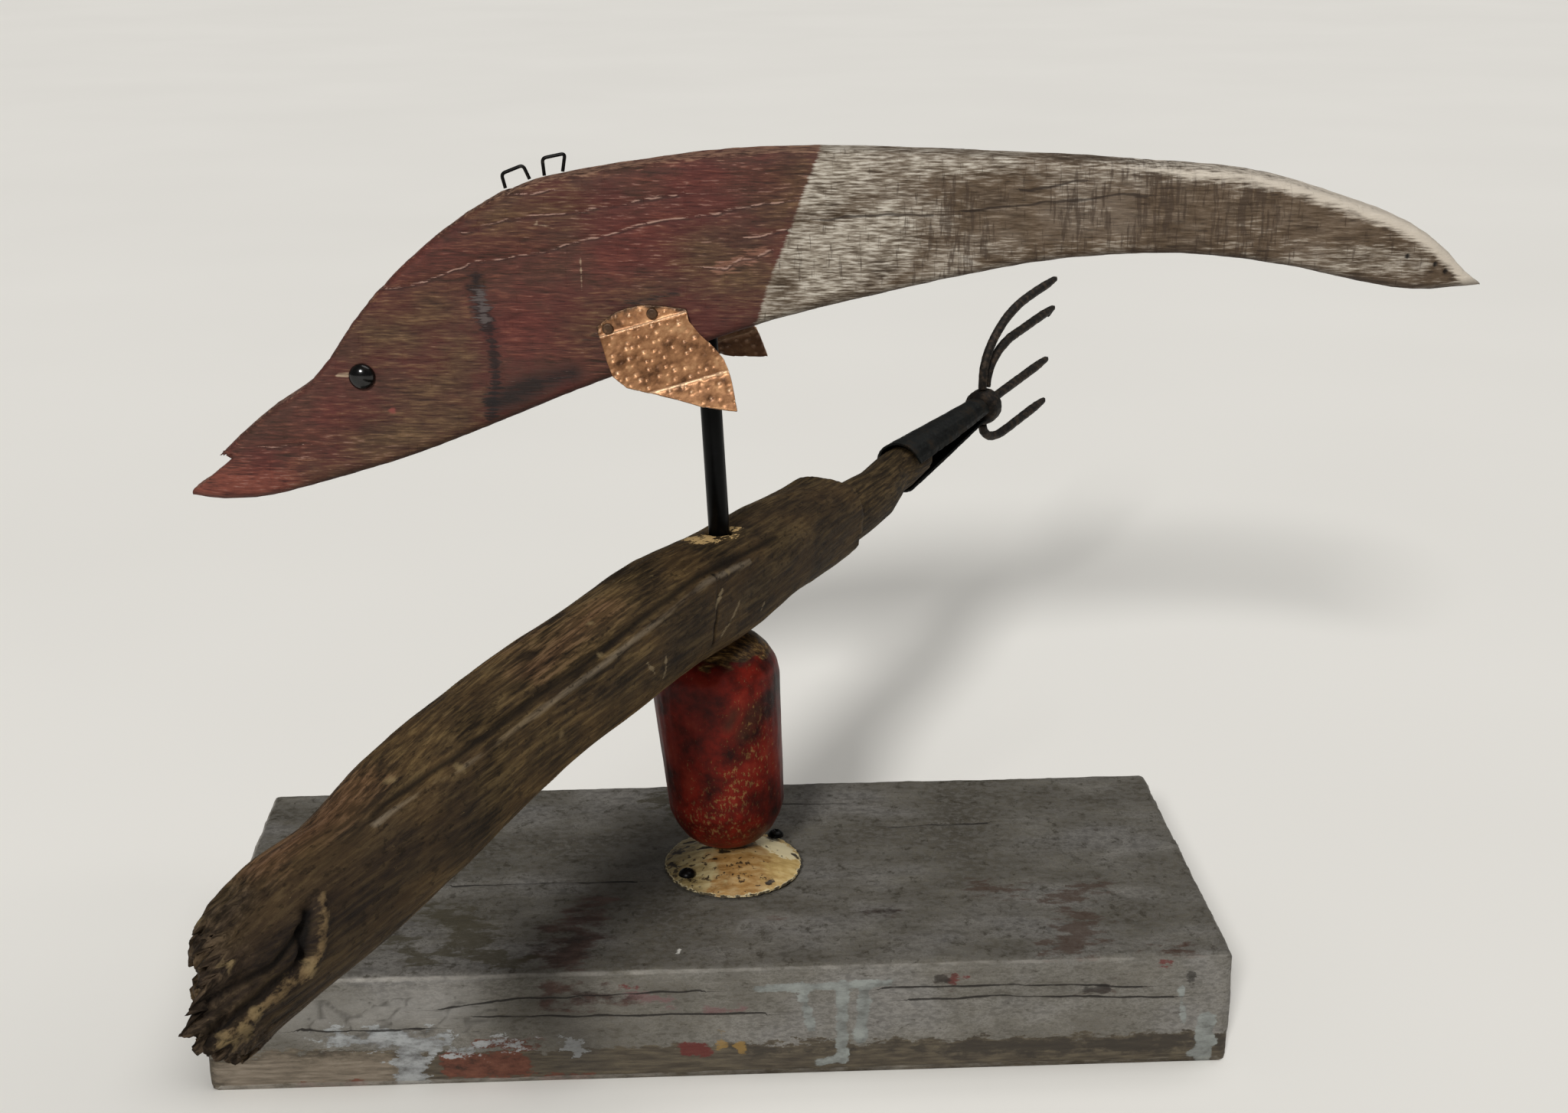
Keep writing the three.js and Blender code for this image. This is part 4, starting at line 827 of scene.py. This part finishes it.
# Blots that go through to both sides
FISH_BLOTS = {
    "olive": [
        [(60, 20), (92, 29), 9], [(40, 8), (66, 13), 4], [(64, 55), (82, 62), 8], [(100, 92), (125, 96), 6],
        [(165, 80), (180, 74), 9], [(196, 106), (190, 92), 5], [(130, 58), (150, 64), 6],
        [(80, 38), (90, 48), 6],
    ],
    "crimson": [
        [(16, 10), (50, 24), 6], [(70, 74), (110, 84), 8], [(140, 78), (150, 88), 8],
        [(150, 104), (190, 104), 5], [(110, 60), (128, 50), 9],
    ],
    "nose": [[(2, 2), (18, 6), 5], [(8, 3), (34, 8), 3]],
    "scraped": [
        [(130, 96), (190, 100), 9], [(150, 82), (190, 84), 10], [(112, 94), (126, 90), 4],
        [(10, 6), (60, 16), 8],
    ],
    "saw": [
        [(242, 93), (243, 84), 8], [(284, 100), (284, 94), 5], [(302, 104), (302, 92), 8],
        [(331, 98), (331, 86), 7],
    ],
}
WHITE_PATCHES = [
    [(231, 108), (259, 109), 4], [(297, 108.5), (309, 107.5), 3], [(360, 82), (382, 80), 6],
    [(205, 78), (222, 86), 12], [(202, 100), (210, 108), 8], [(397, 74), (400, 73), 4],
]
DARK_PATCHES = [[(236, 102), (262, 101), 3.4], [(342, 95), (364, 90), 7], [(255, 92), (320, 95), 9]]
WORM_HOLES = [(378.5, 81.6), (387.3, 79.1), (390.7, 76.8)]
# The outline is found again at places this far apart along the fish
STATION = 2
STATIONS = 206

fish = even_skin("fish_body", "painted_fish", 0.86, 2, crisp=True)
places, normals = skin_of(fish)
along_way, side_way, board = own_frame(FISH_TURN, (0, 0, 0), places)
board = board - np.array(FISH_ORIGIN)
keep_places(fish, "board", board)
along, _, up = board.T
flat = board[:, [0, 2]]
station = np.clip(along / STATION, 0, STATIONS - 1).astype(int)
middles = (np.arange(STATIONS) + 0.5) * STATION
back, belly = np.full(STATIONS, -1e6), np.full(STATIONS, 1e6)
np.maximum.at(back, station, up)
np.minimum.at(belly, station, up)
below_back = np.interp(along, middles, np.where(back < -1e5, 0, back)) - up
over_belly = up - np.interp(along, middles, np.where(belly > 1e5, 0, belly))
cream = along - np.interp(up, *np.transpose([(height, place) for place, height in PAINT_LINE]))
wander = 0.9 * waves(board, (9, 9, 4), 17, 4)
checks = [over_line(flat, line, wander) for line in CHECKS + TAIL_CHECKS]
holes = np.min([np.linalg.norm(flat - np.array(hole), axis=1) for hole in WORM_HOLES], axis=0)
white = np.interp(cream, [0, 12, 35, 70, 120, 200], [0.6, 0.52, 0.36, 0.2, 0.14, 0.16])
white += 0.55 * bell(below_back, 4.5) * np.interp(cream, [0, 60, 100, 200], [0.1, 0.2, 0.8, 1.0])
white += 0.22 * bell(over_belly, 5) + 0.4 * np.clip(in_blots(flat, WHITE_PATCHES) / 4, -0.2, 1)
white -= 0.25 * np.clip(in_blots(flat, DARK_PATCHES) / 4, 0, 1)
bevel = np.interp(along, [230, 270, 310, 360, 385, 396, 402], [-4, -1.6, 0.4, 2.0, 2.8, 4.4, 9])
masks = {name: in_blots(flat, blots) for name, blots in FISH_BLOTS.items()}
for name, blots in NEAR_BLOTS.items():
    masks[name] = np.where(board[:, 1] < 0, in_blots(flat, blots), OUTSIDE)
masks |= {f"check_{order}": values for order, values in enumerate(checks)}
masks |= {"cream": cream, "white": white, "hole": holes, "below": below_back, "belly": over_belly}
mark(fish, masks | {"edge": bevel - 0.9 * np.abs(below_back - 1.4)})
# Depths in mm: grain and slow hollows, checks and worm holes, and saw marks
sunk = 0.14 * (1 + waves(board, (9, 3, 1.6), 18, 4)) + 0.18 * (1 + waves(board, (70, 30, 24), 19))
sunk += 0.5 * bell(np.min(np.abs(checks), axis=0), 0.7) + 0.9 * bell(holes, 0.9)
sunk += 0.14 * np.clip(masks["saw"] / 5 + 0.5, 0, 1) * (1 + waves(board, (1.8, 20, 20), 20, 2))
reshape(fish, places - normals * np.maximum(sunk, 0)[:, None], "fish_body")

# Thin barn paint and whitewash on a weathered board: matt, and broken into fine dashes along the grain
# where darker wood shows. The real dashes are as fine as a hair, so they are drawn coarser to show.
finish, tree, shader, spot = new_finish(
    "barn_red_and_whitewash_on_weathered_board", 0.64, shine=0.2, own="board"
)
dashes = pattern(tree, spot, (5, 1.6667, 0.5556), 5, 0.6)
grain = pattern(tree, spot, (16.667, 5, 1.6667), 6, 0.62)
blotch = pattern(tree, spot, (28.571, 20, 16.667), 7, 0.65)
saw = pattern(tree, spot, (1.1111, 6.667, 7.692), 3, 0.6)
both = add(tree, "Mix", {0: 0.4, 2: dashes, 3: grain})
red = add(tree, "ValToRGB", {"Fac": both}, {0.39: "2e1c17", 0.46: "4a2d26", 0.54: "58372f", 0.61: "76503f"})
blotch_stops = {0.38: "3f3023", 0.46: "4f362c", 0.54: "5a312b", 0.62: "612e2a"}
colour = washed(tree, red, blotch, blotch_stops, 0.42)
# Each mark on the red: its tone, where it starts and is full, how much it covers, and how much the grain
# frays it
RED_MARKS = {
    "crimson": ((both, {0.38: "451f1b", 0.52: "642d27", 0.66: "82473b"}), -6, 12, 0.45, 60),
    "nose": ("84493a", -4, 6, 0.8, 50),
    "olive": ((both, {0.38: "3e3122", 0.52: "5c4832", 0.64: "796144"}), -4, 10, 0.7, 60),
    "smudge": ("231e1c", -2.6, 2, 0.92, 18),
    "splash": ("211c1c", 0, 1.1, 0.85, 16), "heart": ("6e6562", 0, 1.3, 0.55, 20),
    "pink": ("8c4a42", 0, 0.7, 0.75, 5), "lifted": ("8d6352", -0.4, 1.0, 0.7, 18),
    "nick": ("b09a80", 0, 0.4, 0.85, 3),
}
for name, (tone, start, full, most, fraying) in RED_MARKS.items():
    colour = marked(tree, colour, name, tone, start, full, most, both, fraying)
over = crowded(tree, dashes, "scraped", -14, 7, -0.03, 0.05)
colour = laid(tree, colour, "97756a", over, 0.64, 0.72, 0.6)
colour = laid(tree, colour, "2a1a16", dashes, 0.36, 0.29, 0.6)
# A check in the red is a dark line and a pale one of lifted paint, both broken by the dashes: how far each
# is shifted, its half width in mm, where the dashes let it show, its tone, and how much it covers
CHECK_LINES = [(0.5, 0.6, 0.42, "2a1815", 0.7), (0.0, 0.42, 0.45, "ab8a7b", 0.85)]
for order in range(len(CHECKS)):
    offset = add(tree, "Attribute", out="Fac", attribute_name=f"check_{order}")
    for shift, width, least, tone, most in CHECK_LINES:
        away = add(tree, "Math", {0: offset, 1: shift}, operation="ADD")
        away = add(tree, "Math", {0: away}, operation="ABSOLUTE")
        broken = add(tree, "MapRange", {0: dashes, 1: least, 2: least + 0.06, 3: 1.2, 4: 0.0})
        away = add(tree, "Math", {0: away, 1: broken}, operation="ADD")
        colour = laid(tree, colour, tone, away, width, 0.2 * width, most)
colour = marked(tree, colour, "below", "93725c", 0.9, -0.1, 0.6, dashes, -9)
brown_stops = {0.39: "30261c", 0.46: "524435", 0.54: "68594a", 0.61: "8b7c6b"}
brown = add(tree, "ValToRGB", {"Fac": both}, brown_stops)
brown = washed(tree, brown, blotch, {0.38: "3a2d21", 0.48: "5a4835", 0.6: "7c6e60"}, 0.4)
wash = (dashes, {0.38: "64594c", 0.5: "9b9182", 0.61: "c8c0b2"})
thick = add(tree, "Attribute", out="Fac", attribute_name="white")
patchy = add(tree, "Math", {0: blotch, 1: both}, operation="ADD")
patchy = add(tree, "Math", {0: patchy, 1: 2.2, 2: thick}, operation="MULTIPLY_ADD")
tail = laid(tree, brown, wash, patchy, 2.35, 3.1, 0.9)
saw_over = crowded(tree, saw, "saw", -12, 4, -0.07, 0.09)
saw_cover = add(tree, "MapRange", {0: saw_over, 1: 0.54, 2: 0.66, 4: 0.65})
tail = add(tree, "Mix", {0: saw_cover, 6: tail, 7: "3c2f25"}, data_type="RGBA")
tail = laid(tree, tail, "332920", dashes, 0.37, 0.3, 0.7)
tail = marked(tree, tail, "edge", "cdc2b2", -1.4, 0.8, 0.85, both, 10)
for order in range(len(CHECKS), len(checks)):
    away = add(tree, "Attribute", out="Fac", attribute_name=f"check_{order}")
    away = add(tree, "Math", {0: away}, operation="ABSOLUTE")
    tail = laid(tree, tail, "2c221b", away, 0.6, 0.2, 0.8)
colour = marked(tree, colour, "cream", tail, -0.4, 0.6, 1.0, dashes, 4)
# Painted shade: a dark band along the lowest few mm of the belly, where the rounded underside turns from the
# light.
colour = marked(tree, colour, "belly", "2a1e19", 3.4, 0.6, 0.65)
colour = marked(tree, colour, "hole", "15100c", 1.1, 0.6, 0.95)
height = add(tree, "Math", {0: saw_cover, 1: -0.3, 2: both}, operation="MULTIPLY_ADD")
clothe(tree, shader, colour, height=height, depth=0.8, strength=0.7)
show(fish, finish, "fish_paint", "fish_body")

# Eyes
# Two black domed upholstery tacks, enamelled and glossy, pushed into the head, one on each side.
TACK_RADIUS = 4.18
TACK_HEIGHT = 2.56


def on_side(outline, steps, node, name, toward, depth):
    """A turned piece at a CAD node's place, facing out of the fish's side and pushed in by a depth in mm."""
    low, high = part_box(node)
    outward = Vector(side_way) * toward
    facing = outward.to_track_quat("Z", "Y").to_matrix()
    return placed(turned(outline, steps), name, facing, (low + high) / 2 - outward * depth * MM)


# Black enamel on a smooth dome: glossy, so that each tack holds one small bright spot.
finish, tree, shader, spot = new_finish("glossy_black_enamel", 0.16)
dust = pattern(tree, spot, 2, 4)
clothe(tree, shader, add(tree, "ValToRGB", {"Fac": dust}, {0.5: "060606", 0.75: "1c1a18"}))
for node, name, toward in (("eye_tack_near", "near_eye", -1), ("eye_tack_far", "far_eye", 1)):
    eye = on_side(dome(TACK_RADIUS, TACK_HEIGHT, 14), 64, node, name, toward, 1.3)
    show(eye, finish, "black_tack", node)

# Fins
# Two pectoral fins cut from copper sheet and punched from behind in small raised dots. Each is folded once
# to lie along the fish and once more near the tip, and held by two flat-headed nails. Handling has rubbed
# the dots bright.
FIN_FOLD_START = (134.0, 55.3)
FIN_FOLD_RISE = 16.6
FIN_LOW_FOLD = 25.8
FIN_LOW_FOLD_TURN = 9
FACE_OUT = 9.8
DOT_SPACING = 3.1
DOT_HEIGHT = 0.6
# How far the flange reaches above the upper fold, along from its front
FLANGE = [(0, 3.2), (7.1, 6), (15.6, 5.8), (22.7, 3.4), (28.4, 0.9)]
NAIL_HEAD = [(0, 0), (1.74, 0), (1.78, 0.3), (1.68, 0.62), (1.45, 0.82), (1.1, 0.74), (0.5, 0.84), (0, 0.88)]

# Punched copper sheet: warm satin metal, tarnished in brown clouds, rubbed bright on the dots, with a painted
# highlight along the folds and painted shade on the inner face.
finish, tree, shader, spot = new_finish("punched_copper_sheet", 0.4, 0.5)
tarnish = pattern(tree, spot, 5.882, 7, 0.65)
copper_stops = {0.34: "5e3d25", 0.46: "996b47", 0.55: "b38158", 0.68: "d3a476"}
colour = add(tree, "ValToRGB", {"Fac": tarnish}, copper_stops)
# Rubbed bright on the dots, and a painted highlight along each fold's crease
colour = marked(tree, colour, "dot_wear_and_crease_highlight", "f0c8a0", 0.35, 0.9, 0.6)
colour = marked(tree, colour, "hem", "2e2113", 1.2, 0.1, 0.85, tarnish, 5)
# Painted shade on the inner face, turned to the fish
colour = marked(tree, colour, "painted_shade_inner", "3b2416", 0, 1, 0.8)
rough = add(tree, "MapRange", {0: tarnish, 3: 0.32, 4: 0.52})
clothe(tree, shader, colour, rough=rough, height=tarnish)
copper = finish
rise = math.radians(FIN_FOLD_RISE)
scatter = np.random.default_rng(7)
for node, name, toward, splay, shift in (
    ("fin_near", "near_fin", -1, 46, 0), ("fin_far", "far_fin", 1, 44, 4.6),
):
    fin = even_skin(node, name, 0.3, 2, crisp=True)
    places, normals = skin_of(fin)
    lay = own_frame(FISH_TURN, (0, 0, 0), places)[2] - np.array(FISH_ORIGIN)
    ahead, above = lay[:, 0] - FIN_FOLD_START[0], lay[:, 2] - FIN_FOLD_START[1]
    run = ahead * math.cos(rise) + above * math.sin(rise) - shift
    drop = ahead * math.sin(rise) - above * math.cos(rise)
    down = np.where(drop > 0, np.hypot(drop, toward * lay[:, 1] - FACE_OUT), drop)
    dots = np.zeros(len(places))
    for row in np.arange(-4.5, 40, DOT_SPACING):
        for column in np.arange(0, 42, DOT_SPACING):
            at = scatter.uniform(-1.1, 1.1, 2) + (0.8 * column if column < 14 else column - 2.8, row)
            spread, rise_share = scatter.uniform(0.45, 0.85), scatter.uniform(0.3, 1.0)
            dots = np.maximum(dots, rise_share * bell(np.hypot(run - at[0], down - at[1]), spread))
    dots *= np.clip((np.abs(down) - 0.8) / 0.8, 0, 1)
    bend = np.where(down > FIN_LOW_FOLD, splay - FIN_LOW_FOLD_TURN, splay)
    bend = np.radians(np.where(down < 0, 0, bend))
    out_of_sheet = (
        np.outer(-np.sin(bend) * math.sin(rise), along_way) + np.outer(toward * np.cos(bend), side_way)
        + np.outer(np.sin(bend) * math.cos(rise), (0, 0, 1))
    )
    creased = bell(down, 0.6) + bell(down - FIN_LOW_FOLD, 0.6)
    raised = DOT_HEIGHT * dots + 0.4 * creased + 0.25 * waves(places, (9, 9, 9), 25) - 0.3
    places += out_of_sheet * raised[:, None]
    # Marks for the rubbed dots with a painted highlight on the creases, for painted shade on the inner face,
    # and for the hem
    mark(fin, {
        "dot_wear_and_crease_highlight": dots + creased, "painted_shade_inner": np.clip(-np.sum(normals * out_of_sheet, axis=1) * 2, 0, 1),
        "hem": down + np.interp(run, *np.transpose(FLANGE)),
    })
    reshape(fin, places, node)
    show(fin, copper, "copper_sheet", node)
for node, name in (
    ("fin_nail_near_1", "near_fin_nail_front"), ("fin_nail_near_2", "near_fin_nail_rear"),
    ("fin_nail_far_1", "far_fin_nail_front"), ("fin_nail_far_2", "far_fin_nail_rear"),
):
    nail = on_side(NAIL_HEAD, 32, node, name, -1 if "near" in node else 1, 0.45)
    show(nail, copper, "fin_nail", node)

# Line loops
# Two eyes for the fishing line, bent from black steel wire with their feet pushed into the back.
WIRE_RADIUS = 0.56
WIRE_BEND = 1.3
for node, name, route in (
    ("line_loop_front", "front_loop", [(104.9, 99.6), (103.8, 104.0), (110.6, 106.7), (112.5, 102.4)]),
    ("line_loop_rear", "rear_loop", [(117.1, 103.5), (116.6, 108.8), (123.7, 110.3), (122.8, 104.8)]),
):
    stops = [Vector(place) for place in route]
    path = [stops[0]]
    for before, corner, after in zip(stops, stops[1:], stops[2:]):
        start = corner + (before - corner).normalized() * WIRE_BEND
        end = corner + (after - corner).normalized() * WIRE_BEND
        for share in (0, 0.2, 0.4, 0.6, 0.8, 1):
            path.append(start.lerp(corner, share).lerp(corner.lerp(end, share), share))
    path.append(stops[3])
    bent = bpy.data.curves.new(name + "_path", "CURVE")
    bent.dimensions = "3D"
    bent.bevel_depth = WIRE_RADIUS * MM
    bent.bevel_resolution = 4
    bent.use_fill_caps = True
    spline = bent.splines.new("POLY")
    spline.points.add(len(path) - 1)
    for point, place in zip(spline.points, path):
        at = Vector(along_way) * (place.x + FISH_ORIGIN[0]) + Vector(side_way) * FISH_ORIGIN[1]
        point.co = ((at + Vector((0, 0, place.y + FISH_ORIGIN[2]))) * MM).to_4d()
    shaped = bpy.data.objects.new(name + "_path", bent)
    scene.collection.objects.link(shaped)
    depsgraph = bpy.context.evaluated_depsgraph_get()
    wire = bpy.data.objects.new(name, bpy.data.meshes.new_from_object(shaped.evaluated_get(depsgraph)))
    scene.collection.objects.link(wire)
    bpy.data.objects.remove(shaped)
    bpy.data.curves.remove(bent)
    show(wire, black_steel, "black_steel", node)

# Stage, light and camera
# A plain pale floor under a ceiling lamp in front and to the left, with soft light from overhead and all
# round. The camera stands 0.68 m in front of the plank's middle and 0.37 m up, and looks down on it.
FLOOR_RADIUS = 14
CAMERA_PLACE = (-10.365, -680.965, 371.18)
CAMERA_YAW, CAMERA_PITCH, CAMERA_ROLL = 2.7977, 18.148, 0.241
LENS = 51.183
SENSOR_WIDTH = 36
shape = bmesh.new()
bmesh.ops.create_circle(shape, cap_ends=True, segments=96, radius=FLOOR_RADIUS)
floor = placed(shape, "floor", Matrix.Identity(3), Vector((0, 0, 0)))

# Matt off-white paint: no shine and next to no pattern, so that only the object's own shadow shows on it.
finish, tree, shader, spot = new_finish("pale_floor", 0.8)
faint = pattern(tree, spot, 333.3, 2)
clothe(tree, shader, add(tree, "ValToRGB", {"Fac": faint}, {0.3: "f3f0e9", 0.7: "f6f3ec"}))
floor.data.materials.append(finish)

for name, toward, spread, power in (
    ("ceiling_lamp", (-0.26, -0.83, 0.5), 9, 2.3), ("overhead", (0.35, 0.1, 1.0), 50, 1.2),
):
    lamp = bpy.data.lights.new(name, "SUN")
    lamp.angle = math.radians(spread)
    lamp.energy = power
    light = bpy.data.objects.new(name, lamp)
    scene.collection.objects.link(light)
    light.rotation_euler = Vector(toward).to_track_quat("Z", "Y").to_euler()
world = bpy.data.worlds.new("soft_room")
scene.world = world
world.use_nodes = True
world.node_tree.nodes.clear()
glow = add(world.node_tree, "Background", {"Color": "f2f1ee", "Strength": 0.11})
add(world.node_tree, "OutputWorld", {"Surface": glow})

yaw, pitch, roll = (math.radians(angle) for angle in (CAMERA_YAW, CAMERA_PITCH, CAMERA_ROLL))
ahead = Vector((math.sin(yaw) * math.cos(pitch), math.cos(yaw) * math.cos(pitch), -math.sin(pitch)))
right = Vector((math.cos(yaw), -math.sin(yaw), 0))
down = ahead.cross(right)
right, down = math.cos(roll) * right + math.sin(roll) * down, math.cos(roll) * down - math.sin(roll) * right
lens = bpy.data.cameras.new("camera")
lens.sensor_width = SENSOR_WIDTH
lens.lens = LENS
camera = bpy.data.objects.new("camera", lens)
scene.collection.objects.link(camera)
facing = Matrix((right, -down, -ahead)).transposed().to_4x4()
camera.matrix_world = Matrix.Translation(Vector(CAMERA_PLACE) * MM) @ facing
scene.camera = camera
scene.view_settings.view_transform = "Standard"
